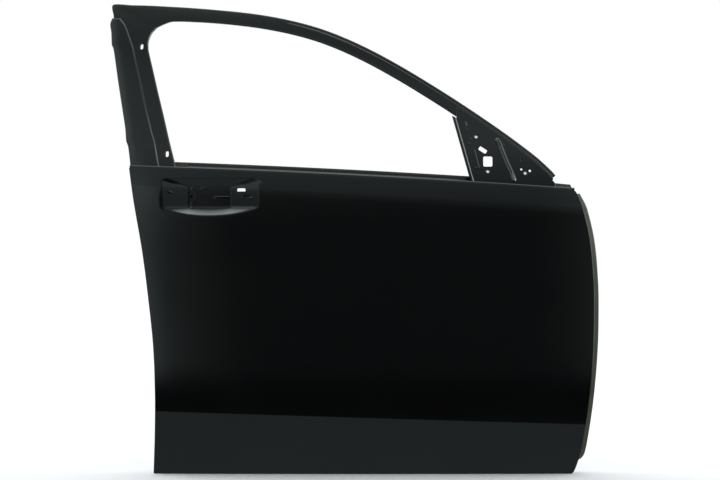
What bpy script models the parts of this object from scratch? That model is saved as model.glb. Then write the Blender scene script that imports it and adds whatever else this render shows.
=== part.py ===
"""Front right car door shell: bare, black-coated, stamped and welded sheet steel.

X points to the front of the car, Y from the outside of the door to the cabin, and Z up. The shapes are
laid out from the height of the door's lower edge, and one empty then shifts the whole door so that the
origin lies in the middle of the upper hinge face.
"""

import math

import bmesh
import bpy
from mathutils import Vector

MM = 0.001

# Sheets and fits
SKIN_SHEET = 0.8 * MM
INNER_SHEET = 0.8 * MM
FRAME_SHEET = 1.0 * MM
GUIDE_SHEET = 1.0 * MM
PLATE_SHEET = 1.6 * MM
WELD_GAP = 0.4 * MM
CURVED_GAP = 0.6 * MM

# Shape of the body side: a barrel, widest below the middle, that falls back to both ends
WIDEST_Z = 0.340
SIDE_RADIUS = 2.600
PLAN_CENTRE_X = 0.600
PLAN_RADIUS = 12.000
SHOULDER_DROP = 0.066
SHOULDER_SLOPE = 0.13
SHOULDER_BLEND = 0.020
TUCK_SLOPE = 0.16
CREASE_REAR = (0.108, 0.1555)
CREASE_FRONT = (1.169, 0.1225)

# Edges of the skin, as x at stated heights, and its belt line
REAR_EDGE = (
    (0.000, 0.1037), (0.108, 0.1079), (0.197, 0.1089), (0.315, 0.1047), (0.432, 0.0925),
    (0.550, 0.0767), (0.668, 0.0554), (0.759, 0.0414),
)
FRONT_EDGE = (
    (0.000, 1.1340), (0.006, 1.1400), (0.038, 1.1515), (0.080, 1.1608), (0.183, 1.1756), (0.306, 1.1859),
    (0.404, 1.1883), (0.476, 1.1871), (0.575, 1.1785), (0.657, 1.1601), (0.689, 1.1478), (0.705, 1.1373),
)
BELT_REAR = (0.041, 0.7610)
BELT_FRONT = (1.137, 0.7048)
BELT_CROWN = 5.0 * MM
BELT_MIDDLE_Z = (BELT_REAR[1] + BELT_FRONT[1]) / 2

# Grid of the skin: (start, end, cells) along its length and up its height, as shares
CREASE_ROW = 0.20
SKIN_COLUMN_CELLS = ((0.0, 0.064, 2), (0.064, 0.290, 13), (0.290, 0.900, 6), (0.900, 1.0, 3))
SKIN_ROW_CELLS = (
    (0.0, 0.0155, 2), (0.0155, CREASE_ROW, 2), (CREASE_ROW, 0.800, 7), (0.800, 0.955, 10), (0.955, 1.0, 2),
)

# Hem and belt folds of the skin
HEM_WIDTH = 9.0 * MM
HEM_HEIGHT = 2 * SKIN_SHEET + INNER_SHEET + 2 * WELD_GAP
BELT_FOLD_DEPTH = 7.0 * MM
BELT_FOLD_DROP = 14.0 * MM

# Handle recess in the skin
RECESS_REAR_X = 0.124
RECESS_FRONT_X = 0.362
RECESS_TOP_Z = 0.716
RECESS_FLOOR_TOP_Z = 0.708
RECESS_FLOOR_LOW_Z = 0.659
RECESS_LOW_Z = 0.6355
RECESS_LOW_RISE = 0.018
RECESS_LOW_MIDDLE_X = 0.234
RECESS_LOW_HALF = 0.100
RECESS_END_RAMP = 0.030
RECESS_DEPTH = 12.0 * MM
RECESS_LIP_POWER = 1.5

# Handle holes in the recess floor: middle x and z, length, height, corner radius
HANDLE_REAR_HOLE = (0.197, 0.683, 0.011, 0.011, 0.0045)
HANDLE_FRONT_HOLE = (0.3205, 0.6985, 0.020, 0.009, 0.003)
HANDLE_SLIT = (0.334, 0.6835, 0.020, 0.004, 0.0015)

# Inner panel: flange, joggle, shoulder in front of the skin, hinge wall and face
FLANGE_SETBACK = 1.6 * MM
FLANGE_WIDTH = 13.0 * MM
SHOULDER_PROUD = 12.0 * MM
SHOULDER_PROUD_TOP = 8.0 * MM
HINGE_WALL_X = 1.166
HINGE_WALL_CLEAR = 5.5 * MM
WALL_TOP_REAR_Z = 0.742
WALL_TOP_FRONT_Z = 0.690
FACE_LOW_Y = 0.128
FACE_SLOPE = 0.047
FACE_BEND_DROP = 0.034
FACE_BEND_LENGTH = 0.014
BELT_STEP = 12.6 * MM
BELT_STEP_FRONT = 8.5 * MM
BELT_STEP_TAPER_X = 1.000
BELT_END_SETBACK = 3.0 * MM
BELT_CELLS = 12

# Rings of the inner panel's tray, from the hem to the face: insets from the three edges, lift from the skin
TRAY_CORNER = 6.0 * MM
FLANGE_LIFT = SKIN_SHEET + WELD_GAP + INNER_SHEET
TRAY_RINGS = (
    {"rear": FLANGE_SETBACK, "bottom": FLANGE_SETBACK, "radius": 0.010, "lift": FLANGE_LIFT},
    {"rear": FLANGE_WIDTH, "bottom": FLANGE_WIDTH, "radius": 0.018, "lift": FLANGE_LIFT},
    {"rear": FLANGE_WIDTH + 2 * MM, "bottom": 0.024, "radius": 0.020, "lift": 0.009},
    {"rear": FLANGE_WIDTH + 4 * MM, "bottom": 0.032, "radius": 0.022, "lift": 0.012},
    {"rear": FLANGE_WIDTH + 5 * MM, "bottom": 0.034, "radius": 0.024, "lift": 0.026},
    {"rear": FLANGE_WIDTH + 11 * MM, "bottom": 0.044, "radius": 0.034, "lift": None},
    {"rear": FLANGE_WIDTH + 17 * MM, "bottom": 0.050, "radius": 0.040, "lift": None},
)
TRAY_REAR_LEVELS = (
    WALL_TOP_REAR_Z, 0.726, 0.711, 0.697, 0.670, 0.620, 0.560, 0.500, 0.440, 0.380, 0.320, 0.260, 0.200,
    CREASE_REAR[1], 0.110,
)
TRAY_FRONT_LEVELS = (
    0.108, CREASE_FRONT[1], 0.160, 0.210, 0.260, 0.310, 0.360, 0.410, 0.460, 0.510, 0.560, 0.610, 0.640,
    0.655, 0.672, WALL_TOP_FRONT_Z,
)
TRAY_BOTTOM_CELLS = 6
TRAY_ARC_CELLS = 4

# Inner panel holes
SERVICE_CORNERS = ((0.300, 0.300), (0.885, 0.345), (0.865, 0.615), (0.290, 0.625))
SERVICE_RADIUS = 0.045
SPEAKER_CENTRE = (1.010, 0.235)
SPEAKER_RADIUS = 0.0825
SPEAKER_SEAT = 0.100
LATCH_ACCESS = (0.165, 0.535, 0.056, 0.100, 0.020)
SIGHT_HOLE = (0.3185, 0.6985, 0.013)
LIP_DEPTH = 5.0 * MM
BEAD_DEPTH = 4.0 * MM
CLIP_HOLE_RADIUS = 4.0 * MM
CLIP_HOLES = (
    (0.150, 0.110), (0.330, 0.085), (0.560, 0.085), (0.790, 0.085), (1.110, 0.100),
    (0.140, 0.330), (1.125, 0.400), (0.165, 0.670), (1.090, 0.640),
)

# Pressed beads of the inner face: middle x and z, length, height, corner radius, angle
INNER_BEADS = (
    (0.590, 0.668, 0.520, 0.022, 0.010, -1.5),
    (0.570, 0.200, 0.560, 0.028, 0.012, 4.0),
    (0.570, 0.145, 0.620, 0.022, 0.010, 3.0),
    (0.990, 0.480, 0.022, 0.180, 0.010, 0.0),
    (0.205, 0.300, 0.024, 0.190, 0.010, 0.0),
)

# Window frame: glass-side bow, depth of the box and the two boundaries of its rear leg and corner
FRAME_SETBACK = 17.0 * MM
FRAME_SLOPE = 0.27
FRAME_BOW = 0.30
BELOW_BELT_SLOPE = 0.12
FRAME_DEPTH = 38.0 * MM
HEADER_WIDTH = 36.0 * MM
LEG_PAIRS = (
    ((0.048, 0.745), (0.160, 0.745)),
    ((0.0440, 0.777), (0.1517, 0.777)),
    ((0.0365, 0.822), (0.1396, 0.822)),
    ((0.0255, 0.883), (0.1246, 0.883)),
    ((0.0145, 0.943), (0.1088, 0.943)),
    ((0.0035, 1.005), (0.0932, 1.005)),
    ((-0.0045, 1.051), (0.0812, 1.051)),
    ((-0.0090, 1.085), (0.0796, 1.067)),
    ((-0.0110, 1.115), (0.0816, 1.082)),
    ((-0.0125, 1.145), (0.0883, 1.098)),
    ((-0.0146, 1.1723), (0.0955, 1.1065)),
    ((0.030, 1.1716), (0.1029, 1.1136)),
    ((0.080, 1.1700), (0.1297, 1.1257)),
    ((0.130, 1.1675), (0.1450, 1.1275)),
    ((0.175, 1.1648), (0.1760, 1.1270)),
)
STRAIGHT_PAIRS = 6
HEADER_EDGE = (
    (0.250, 1.1585), (0.341, 1.1485), (0.432, 1.1319), (0.523, 1.1060), (0.614, 1.0672), (0.704, 1.0186),
    (0.793, 0.9640), (0.882, 0.9056), (0.971, 0.8433), (1.0295, 0.7990), (1.0587, 0.7750), (1.0878, 0.7469),
    (1.0970, 0.7357),
)

# Sections across the frame band: share of the band's width, then an offset, then depth towards the cabin
OUTER_SECTION = (
    (0, 0.0, 5.0), (0, 10.5, 5.0), (0, 12.5, 0.6), (0, 15.0, 0.0),
    (1, -3.5, 0.0), (1, -1.0, 0.8), (1, 0.0, 3.0), (1, 0.0, 7.0),
)
RUN_SECTION = ((1, -1.5, 7.4), (1, -16.0, 7.4), (1, -16.0, 24.0), (1, -1.5, 24.0))
INNER_SECTION = (
    (0, 0.8, 7.4), (0, 11.0, 7.4), (0, 13.0, 12.0), (0, 15.0, 36.0), (0, 18.0, 38.0),
    (1, -5.0, 38.0), (1, -1.5, 35.0), (1, -1.5, 25.4),
)

# Plate on the rear leg: its two edges from the belt up
PILLAR_PROUD = 3.0 * MM
PILLAR_PAIRS = (
    ((0.0450, 0.750), (0.1190, 0.750)),
    ((0.0423, 0.7735), (0.1127, 0.7722)),
    ((0.0372, 0.8072), (0.1052, 0.8127)),
    ((0.0319, 0.8222), (0.1015, 0.8270)),
    ((0.0288, 0.8523), (0.0949, 0.8481)),
    ((0.0208, 0.8977), (0.0843, 0.8919)),
    ((0.0068, 0.9740), (0.0655, 0.9740)),
    ((-0.0066, 1.0511), (0.0450, 1.0520)),
    ((-0.0123, 1.0667), (0.0405, 1.0660)),
    ((-0.0149, 1.0979), (0.0290, 1.0979)),
    ((-0.0186, 1.1201), (0.0206, 1.1190)),
    ((-0.0150, 1.1338), (0.0093, 1.1338)),
)
PILLAR_SECTION = ((0, 0.0, 3.4), (0, 0.4, 0.6), (0, 2.5, 0.0), (1, -3.0, 0.0), (1, 0.0, 2.2))
PILLAR_HOLES = ((0.0627, 1.0628), (0.1339, 0.7890))
PILLAR_HOLE_SIZE = (0.0095, 0.0150, 0.0045)

# Mirror plate: outline, holes and the curved bead
MIRROR_OUTLINE = (
    (0.8535, 0.9080), (0.875, 0.8945), (0.963, 0.8330), (1.0215, 0.7890), (1.0497, 0.7655), (1.0790, 0.7380),
    (1.0905, 0.7270), (1.0882, 0.7235), (1.0949, 0.7157), (1.0949, 0.6960), (0.9020, 0.7050),
    (0.8965, 0.7100), (0.8905, 0.7337), (0.8520, 0.8770),
)
MIRROR_SQUARE = (0.9286, 0.7698, 0.0225, 0.0250, 0.0040, 0.0)
MIRROR_SLOT = (0.9164, 0.7985, 0.0210, 0.0100, 0.0030, -33.0)
MIRROR_ROUND_HOLES = (
    (0.9005, 0.8320, 0.0046), (0.9283, 0.7454, 0.0048), (1.0208, 0.7414, 0.0048), (1.0322, 0.7466, 0.0028),
    (1.0129, 0.7727, 0.0030), (1.0111, 0.7501, 0.0024),
)
MIRROR_BEAD = ((0.9494, 0.8230), (0.9688, 0.7960), (0.9853, 0.7633), (0.9955, 0.7275))
MIRROR_BEAD_WIDTH = 9.0 * MM
MIRROR_BEAD_HEIGHT = 3.0 * MM
MIRROR_NUTS = ((0.9005, 0.8320), (0.9283, 0.7454), (1.0208, 0.7414))

# Glass guides: where they start, how far they lean forwards going down, and their lower end
GUIDE_LEAN = 0.2693
FRONT_GUIDE_TOP = (0.8431, 0.8790)
REAR_GUIDE_TOP = (0.1600, 0.7446)
GUIDE_TOP_SLANT = 0.55
GUIDE_END_Z = 0.470
FRONT_GUIDE_SECTION = ((0.0, 1.5), (5.0, 1.5), (6.5, 0.0), (10.5, 0.0), (10.5, 18.0), (0.0, 18.0))
REAR_GUIDE_SECTION = ((-1.5, 7.4), (-16.0, 7.4), (-16.0, 24.0), (-1.5, 24.0))
GUIDE_FOOT_WIDTH = 0.030
GUIDE_FOOT_LENGTH = 0.020

# Impact beam and brackets
BEAM_RADIUS = 0.017
BEAM_WALL = 2.2 * MM
BEAM_REAR = Vector((0.160, 0.0300, 0.415))
BEAM_FRONT = Vector((1.112, 0.0300, 0.302))
BEAM_SIDES = 20
BRACKET_HALF = 0.032
BRACKET_SADDLE = (60.0 * MM, -3.0 * MM, -24.0 * MM)
BRACKET_TAB_BEND = 6.0 * MM
BRACKET_TAB_Y = (12.0 * MM, 17.0 * MM, 47.0 * MM)
PAD_PLACES = (0.30, 0.52, 0.74)
PAD_LENGTH = 0.040
PAD_HEIGHT = 0.022
PAD_GAP = 0.8 * MM

# Belt reinforcements: depth from the sheet that carries them, and drop below the belt line
OUTER_BELT_SPAN = (0.385, 1.080)
OUTER_BELT_SECTION = ((0.0, 18.0), (0.0, 28.0), (9.0, 33.0), (9.0, 50.0), (0.0, 55.0), (0.0, 66.0))
INNER_BELT_SPAN = (0.185, 1.030)
INNER_BELT_SECTION = ((0.0, -9.0), (0.0, -2.0), (8.0, 1.0), (8.0, 13.0), (0.0, 16.0), (0.0, 19.0))

# Hinges, check strap and latch
UPPER_HINGE_Z = 0.600
LOWER_HINGE_Z = 0.220
HINGE_Y = 0.076
HINGE_PLATE_HALF = (0.015, 0.042)
HINGE_BOLT_SPACING = 0.044
HINGE_BOLT_RADIUS = 5.5 * MM
NUT_PLATE_HALF = (0.013, 0.034)
NUT_PLATE_THICKNESS = 5.0 * MM
NUT_THREAD_RADIUS = 4.3 * MM
CHECK_STRAP_Z = 0.410
CHECK_STRAP_HALF = (0.018, 0.034)
CHECK_SLOT = (0.018, 0.040, 0.004)
HARNESS_Z = 0.505
HARNESS_RADIUS = 0.019
LATCH_Z = 0.520
LATCH_HALF = (0.022, 0.055)
LATCH_SLOT = (0.024, 0.050, 0.008)

# Small brackets and nuts
HANDLE_BRACKET = (0.164, 0.336, 0.661, 0.6955)
HANDLE_BRACKET_LIP = 7.0 * MM
HANDLE_LIP_TAPER = 3.0 * MM
PULL_BRACKET = (0.560, 0.220, 0.120, 0.050)
PULL_BRACKET_HEIGHT = 14.0 * MM
PULL_BRACKET_FOOT = 14.0 * MM
PULL_BRACKET_RAMP = 6.0 * MM
PULL_SCREW_RADIUS = 4.0 * MM
NUT_RADIUS = 6.5 * MM
NUT_BORE = 2.9 * MM
NUT_HEIGHT = 5.0 * MM
PANEL_NUTS = ((0.250, 0.240), (0.930, 0.560), (0.240, 0.655), (0.930, 0.400))

# How far cutters reach: through the skin, the inner face, the frame, the hinge wall and the latch wall
SKIN_REACH = (-0.050, 0.100)
DEPTH_REACH = (FACE_LOW_Y - 0.068, FACE_LOW_Y + PULL_BRACKET_HEIGHT + 0.018)
FRAME_REACH = (0.0, 0.300)
FRONT_REACH = (HINGE_WALL_X - 0.050, HINGE_WALL_X + 0.050)
REAR_REACH = (0.040, 0.140)

DOOR = bpy.data.collections.new("car_door_shell")
CUTTERS = bpy.data.collections.new("cutters")


def smooth_step(low, high, value):
    """Rises from 0 at low to 1 at high, level at both ends."""
    share = min(max((value - low) / (high - low), 0.0), 1.0)
    return share * share * (3 - 2 * share)


def curve_value(points, at):
    """Value at a place on the smooth curve through (place, value) points, straight beyond its ends."""
    last = len(points) - 1
    slopes = []
    for index in range(last + 1):
        before = points[max(index - 1, 0)]
        after = points[min(index + 1, last)]
        slopes.append((after[1] - before[1]) / (after[0] - before[0]))
    if at <= points[0][0]:
        return points[0][1] + slopes[0] * (at - points[0][0])
    if at >= points[last][0]:
        return points[last][1] + slopes[last] * (at - points[last][0])
    index = max(i for i in range(last) if points[i][0] <= at)
    span = points[index + 1][0] - points[index][0]
    t = (at - points[index][0]) / span
    rise = points[index + 1][1] - points[index][1]
    start = slopes[index] * span
    end = slopes[index + 1] * span
    return points[index][1] + t * (start + t * (3 * rise - 2 * start - end + t * (start + end - 2 * rise)))


def line_value(start, end, at):
    """Value at a place on the straight line through two (place, value) points."""
    return start[1] + (end[1] - start[1]) * (at - start[0]) / (end[0] - start[0])


def crease_z(x):
    """Height of the crease above the door's lower edge."""
    return line_value(CREASE_REAR, CREASE_FRONT, x)


def belt_z(x):
    """Height of the skin's top edge."""
    share = (x - BELT_REAR[0]) / (BELT_FRONT[0] - BELT_REAR[0])
    return line_value(BELT_REAR, BELT_FRONT, x) + 4 * BELT_CROWN * share * (1 - share)


def inner_top_z(x):
    """Height of the inner panel's top edge, which stands above the skin's."""
    taper = smooth_step(BELT_STEP_TAPER_X, BELT_FRONT[0], x)
    return belt_z(x) + BELT_STEP + (BELT_STEP_FRONT - BELT_STEP) * taper


def plan_sweep(x):
    """How far the door falls back from its widest station, seen from above."""
    return (x - PLAN_CENTRE_X) ** 2 / (2 * PLAN_RADIUS)


def side_profile(z, belt, crease):
    """Depth of the body side at a height, between a crease and a belt line."""
    level = max(z, crease)
    depth = (level - WIDEST_Z) ** 2 / (2 * SIDE_RADIUS)
    above = max(level - (belt - SHOULDER_DROP), 0.0)
    blended = min(above, SHOULDER_BLEND)
    depth += SHOULDER_SLOPE * (above - blended + blended * blended / (2 * SHOULDER_BLEND))
    return depth + TUCK_SLOPE * max(crease - z, 0.0)


def skin_y(x, z):
    """Outer face of the skin, without the handle recess."""
    return side_profile(z, belt_z(x), crease_z(x)) + plan_sweep(x)


def recess_depth(x, z):
    """Depth of the handle recess below the skin."""
    ends = smooth_step(RECESS_REAR_X, RECESS_REAR_X + RECESS_END_RAMP, x)
    ends *= 1 - smooth_step(RECESS_FRONT_X - RECESS_END_RAMP, RECESS_FRONT_X, x)
    low = RECESS_LOW_Z + RECESS_LOW_RISE * ((x - RECESS_LOW_MIDDLE_X) / RECESS_LOW_HALF) ** 2
    low = min(low, RECESS_FLOOR_LOW_Z - 3 * MM)
    share = min(max((z - low) / (RECESS_FLOOR_LOW_Z - low), 0.0), 1.0)
    lip = 1 - (1 - share) ** RECESS_LIP_POWER
    top = 1 - smooth_step(RECESS_FLOOR_TOP_Z, RECESS_TOP_Z, z)
    return RECESS_DEPTH * ends * lip * top


def frame_y(x, z):
    """Outer face of the window frame, which follows the glass; nearly straight below the belt."""
    base = side_profile(BELT_MIDDLE_Z, BELT_MIDDLE_Z, 0.0) + FRAME_SETBACK
    rise = z - BELT_MIDDLE_Z
    limit = belt_z(x) - BELT_MIDDLE_Z - FACE_BEND_DROP
    if rise < limit:
        bent = FRAME_SLOPE * limit + FRAME_BOW * limit * limit
        return base + bent + BELOW_BELT_SLOPE * (rise - limit) + plan_sweep(x)
    return base + FRAME_SLOPE * rise + FRAME_BOW * rise * rise + plan_sweep(x)


def face_y(x, z):
    """Cabin face of the inner panel: a plane that bends at the belt to lie along the window frame."""
    plane = FACE_LOW_Y - FACE_SLOPE * z
    strip = frame_y(x, z) + FRAME_DEPTH + CURVED_GAP + INNER_SHEET
    bend = belt_z(x) - FACE_BEND_DROP
    return plane + (strip - plane) * smooth_step(bend, bend + FACE_BEND_LENGTH, z)


def hinge_wall_x(z):
    """Outer face of the hinge wall: flat, and drawn in where the front edge runs back."""
    return min(HINGE_WALL_X, curve_value(FRONT_EDGE, z) + HINGE_WALL_CLEAR)


def latch_wall_x(y, z):
    """Outer face of the latch wall, which leans forwards towards the cabin."""
    shallow = skin_y(curve_value(REAR_EDGE, z), z) + TRAY_RINGS[4]["lift"]
    deep = face_y(0.1, z) - TRAY_CORNER
    share = (y - shallow) / (deep - shallow)
    inset = TRAY_RINGS[4]["rear"] + (TRAY_RINGS[5]["rear"] - TRAY_RINGS[4]["rear"]) * share
    return curve_value(REAR_EDGE, z) + inset


def tray_front_x(ring, z):
    """Front x of one ring of the tray at a height."""
    edge = curve_value(FRONT_EDGE, z)
    if ring < 3:
        return edge - TRAY_RINGS[ring]["rear"]
    if ring == 3:
        fade = smooth_step(WALL_TOP_FRONT_Z - 0.040, WALL_TOP_FRONT_Z, z)
        return edge + SHOULDER_PROUD + (SHOULDER_PROUD_TOP - SHOULDER_PROUD) * fade
    if ring == 6:
        return hinge_wall_x(z) - TRAY_CORNER
    return hinge_wall_x(z)


def tray_path(ring):
    """One ring of the tray, from the top of the rear edge, along the bottom, to the top of the front edge."""
    sizes = TRAY_RINGS[ring]
    low = sizes["bottom"]
    radius = sizes["radius"]
    path = [(curve_value(REAR_EDGE, z) + sizes["rear"], z) for z in TRAY_REAR_LEVELS]
    rear_corner = (curve_value(REAR_EDGE, low) + sizes["rear"], low)
    front_corner = (tray_front_x(ring, low), low)
    path += corner_arc((rear_corner[0], low + radius), rear_corner, (rear_corner[0] + radius, low))
    for cell in range(1, TRAY_BOTTOM_CELLS):
        share = cell / TRAY_BOTTOM_CELLS
        start = rear_corner[0] + radius
        path.append((start + (front_corner[0] - radius - start) * share, low))
    upper = (tray_front_x(ring, low + radius), low + radius)
    path += corner_arc((front_corner[0] - radius, low), front_corner, upper)
    path += [(tray_front_x(ring, z), z) for z in TRAY_FRONT_LEVELS]
    return path


def corner_arc(start, corner, end):
    """Rounded corner between two points, as a quadratic curve."""
    points = []
    for cell in range(TRAY_ARC_CELLS + 1):
        t = cell / TRAY_ARC_CELLS
        weights = ((1 - t) ** 2, 2 * t * (1 - t), t * t)
        points.append(tuple(
            weights[0] * start[axis] + weights[1] * corner[axis] + weights[2] * end[axis] for axis in (0, 1)
        ))
    return points


def refine(pairs):
    """Adds one smooth point between each two of a list of equal-length coordinate tuples."""
    last = len(pairs) - 1
    result = []
    for index in range(last):
        around = [pairs[min(max(index + step, 0), last)] for step in (-1, 0, 1, 2)]
        result.append(pairs[index])
        result.append(tuple(
            (9 * (around[1][axis] + around[2][axis]) - around[0][axis] - around[3][axis]) / 16
            for axis in range(len(pairs[index]))
        ))
    result.append(pairs[last])
    return result


def frame_stations():
    """Stations of the window frame, each as (outer x, outer z, inner x, inner z)."""
    stations = [outer + inner for outer, inner in LEG_PAIRS]
    last = len(HEADER_EDGE) - 1
    for index, (x, z) in enumerate(HEADER_EDGE):
        before = HEADER_EDGE[max(index - 1, 0)]
        after = HEADER_EDGE[min(index + 1, last)]
        run = Vector((after[0] - before[0], after[1] - before[1])).normalized()
        stations.append((x, z, x + run.y * HEADER_WIDTH, z - run.x * HEADER_WIDTH))
    return stations[:STRAIGHT_PAIRS] + refine(stations[STRAIGHT_PAIRS:])


def sheet_grid(columns, rows, place, keep=None):
    """Open sheet from a grid of cells: place(column, row) gives each corner, keep(column, row) each cell."""
    mesh = bmesh.new()
    bmesh.ops.create_grid(mesh, x_segments=columns, y_segments=rows, size=1.0)
    for vert in mesh.verts:
        column = round((vert.co.x + 1) / 2 * columns)
        row = round((vert.co.y + 1) / 2 * rows)
        vert.co = Vector((column, row, 0))
    if keep:
        dropped = []
        for face in mesh.faces:
            column = round(min(vert.co.x for vert in face.verts))
            row = round(min(vert.co.y for vert in face.verts))
            if not keep(column, row):
                dropped.append(face)
        bmesh.ops.delete(mesh, geom=dropped, context="FACES")
    for vert in mesh.verts:
        vert.co = Vector(place(round(vert.co.x), round(vert.co.y)))
    return mesh


def vert_loop(mesh, points, depth):
    """New vertices in a flat sheet, where y is the depth."""
    return [mesh.verts.new((x, depth, z)) for x, z in points]


def loop_edges(mesh, verts):
    """Edges around a closed loop of vertices, made where they are missing."""
    edges = []
    for index, vert in enumerate(verts):
        pair = (vert, verts[(index + 1) % len(verts)])
        edges.append(mesh.edges.get(pair) or mesh.edges.new(pair))
    return edges


def rounded(corners, radius, cells=4):
    """Closed outline with rounded corners."""
    points = []
    count = len(corners)
    for index in range(count):
        corner = Vector(corners[index])
        before = (Vector(corners[index - 1]) - corner).normalized() * radius
        after = (Vector(corners[(index + 1) % count]) - corner).normalized() * radius
        for cell in range(cells + 1):
            t = cell / cells
            point = corner + before * (1 - t) ** 2 + after * t ** 2
            points.append((point.x, point.y))
    return points


def rounded_box(x, z, length, height, radius, angle=0.0):
    """Closed outline of a rounded rectangle, turned by an angle in degrees."""
    turn = math.radians(angle)
    corners = []
    for side, level in ((-1, -1), (1, -1), (1, 1), (-1, 1)):
        along = side * length / 2
        up = level * height / 2
        corners.append((
            x + along * math.cos(turn) - up * math.sin(turn),
            z + along * math.sin(turn) + up * math.cos(turn),
        ))
    return rounded(corners, radius, 3)


def circle(x, z, radius, sides=16):
    """Closed round outline."""
    angles = [2 * math.pi * side / sides for side in range(sides)]
    return [(x + radius * math.cos(a), z + radius * math.sin(a)) for a in angles]


def ribbon(points, width):
    """Closed outline of a strip along a line of points, with blunt ends."""
    left = []
    right = []
    last = len(points) - 1
    for index, (x, z) in enumerate(points):
        before = points[max(index - 1, 0)]
        after = points[min(index + 1, last)]
        run = Vector((after[0] - before[0], after[1] - before[1])).normalized()
        left.append((x - run.y * width / 2, z + run.x * width / 2))
        right.append((x + run.y * width / 2, z - run.x * width / 2))
    return right + left[::-1]


def inset(points, distance):
    """Closed outline moved inwards by a distance; the outline runs anticlockwise."""
    moved = []
    count = len(points)
    for index, point in enumerate(points):
        before = Vector(point) - Vector(points[index - 1])
        after = Vector(points[(index + 1) % count]) - Vector(point)
        before.normalize()
        after.normalize()
        run = (before + after).normalized()
        stretch = 1 / max(run.dot(after), 0.5)
        moved.append((point[0] - run.y * distance * stretch, point[1] + run.x * distance * stretch))
    return moved


def fill_between(mesh, loops):
    """Flat sheet between closed loops: inside the first and outside the others."""
    edges = []
    for verts in loops:
        edges += loop_edges(mesh, verts)
    bmesh.ops.triangle_fill(mesh, edges=edges, use_beauty=True, use_dissolve=False)


def press(mesh, outline, draw, depth, closed):
    """Presses the sheet inside an outline to a depth, with sloping walls of width draw; returns its loop."""
    rim = vert_loop(mesh, outline, 0.0)
    floor = vert_loop(mesh, inset(outline, draw), depth)
    bmesh.ops.bridge_loops(mesh, edges=loop_edges(mesh, rim) + loop_edges(mesh, floor))
    if closed:
        fill_between(mesh, [floor])
    return rim


def slice_levels(mesh, verts, levels, slope=0.0):
    """Cuts the faces around some vertices along lines at stated heights, so that they can be bent there."""
    for level in levels:
        faces = {face for vert in verts if vert.is_valid for face in vert.link_faces}
        faces = {face for face in faces if all(vert in verts for vert in face.verts)}
        edges = {edge for face in faces for edge in face.edges}
        corners = {vert for face in faces for vert in face.verts}
        made = bmesh.ops.bisect_plane(
            mesh, geom=list(faces) + list(edges) + list(corners), dist=0.02 * MM,
            plane_co=(0, 0, level), plane_no=(-slope, 0, 1),
        )
        verts.update(item for item in made["geom_cut"] if isinstance(item, bmesh.types.BMVert))


def bend(verts, surface):
    """Moves the vertices of a flat sheet onto a surface, keeping their depth."""
    for vert in verts:
        if vert.is_valid:
            vert.co.y += surface(vert.co.x, vert.co.z)


def coat(name, colour, roughness, metallic):
    """Principled material of one piece."""
    material = bpy.data.materials.new(name)
    material.use_nodes = True
    shader = material.node_tree.nodes["Principled BSDF"]
    shader.inputs["Base Color"].default_value = (*colour, 1.0)
    shader.inputs["Roughness"].default_value = roughness
    shader.inputs["Metallic"].default_value = metallic
    return material


BLACK = ((0.010, 0.010, 0.011), 0.12, 0.0)
ZINC = ((0.45, 0.45, 0.42), 0.38, 1.0)
MASTIC = ((0.060, 0.060, 0.058), 0.85, 0.0)


def add_object(name, mesh, finish, collection=DOOR):
    """Turns a finished bmesh into an object under the door's empty."""
    data = bpy.data.meshes.new(name)
    mesh.to_mesh(data)
    mesh.free()
    item = bpy.data.objects.new(name, data)
    item.parent = ORIGIN
    collection.objects.link(item)
    if finish:
        data.materials.append(coat(name + "_finish", *finish))
    return item


def add_sheet(name, mesh, facing, thickness, finish=BLACK):
    """Adds a sheet whose named face looks along facing; its thickness goes the other way."""
    bmesh.ops.recalc_face_normals(mesh, faces=mesh.faces[:])
    total = Vector((0, 0, 0))
    for face in mesh.faces:
        total += face.normal * face.calc_area()
    if total.dot(Vector(facing)) < 0:
        bmesh.ops.reverse_faces(mesh, faces=mesh.faces[:])
    item = add_object(name, mesh, finish)
    shell = item.modifiers.new("sheet", "SOLIDIFY")
    shell.thickness = thickness
    shell.offset = -1
    shell.use_even_offset = True
    shell.use_quality_normals = True
    return item


def prism(mesh, outline, axis, start, end):
    """Closed prism over an outline in the plane across an axis: 'X' takes (y, z) points, 'Y' takes (x, z)."""
    rings = []
    for level in (start, end):
        if axis == "X":
            rings.append([mesh.verts.new((level, a, b)) for a, b in outline])
        else:
            rings.append([mesh.verts.new((a, level, b)) for a, b in outline])
    fill_between(mesh, rings[:1])
    fill_between(mesh, rings[1:])
    bmesh.ops.bridge_loops(mesh, edges=loop_edges(mesh, rings[0]) + loop_edges(mesh, rings[1]))


def cut(item, name, shapes):
    """Cuts prisms, each as (outline, axis, start, end), out of a part."""
    mesh = bmesh.new()
    for outline, axis, start, end in shapes:
        prism(mesh, outline, axis, start, end)
    bmesh.ops.recalc_face_normals(mesh, faces=mesh.faces[:])
    cutter = add_object(name, mesh, None, CUTTERS)
    cutter.hide_render = True
    cutter.display_type = "WIRE"
    hole = item.modifiers.new(name, "BOOLEAN")
    hole.operation = "DIFFERENCE"
    hole.solver = "EXACT"
    hole.object = cutter


def stations(breaks):
    """Even cells between stated places: ((start, end, cells), ...)."""
    values = [breaks[0][0]]
    for start, end, cells in breaks:
        values += [start + (end - start) * (cell + 1) / cells for cell in range(cells)]
    return values


def skin_place(u, v):
    """Place on the skin for a share u of its length and v of its height."""
    x = PLAN_CENTRE_X
    for _ in range(6):
        crease = crease_z(x)
        if v <= CREASE_ROW:
            z = crease * v / CREASE_ROW
        else:
            z = crease + (belt_z(x) - crease) * (v - CREASE_ROW) / (1 - CREASE_ROW)
        rear = curve_value(REAR_EDGE, z)
        x = rear + (curve_value(FRONT_EDGE, z) - rear) * u
    return x, z


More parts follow.
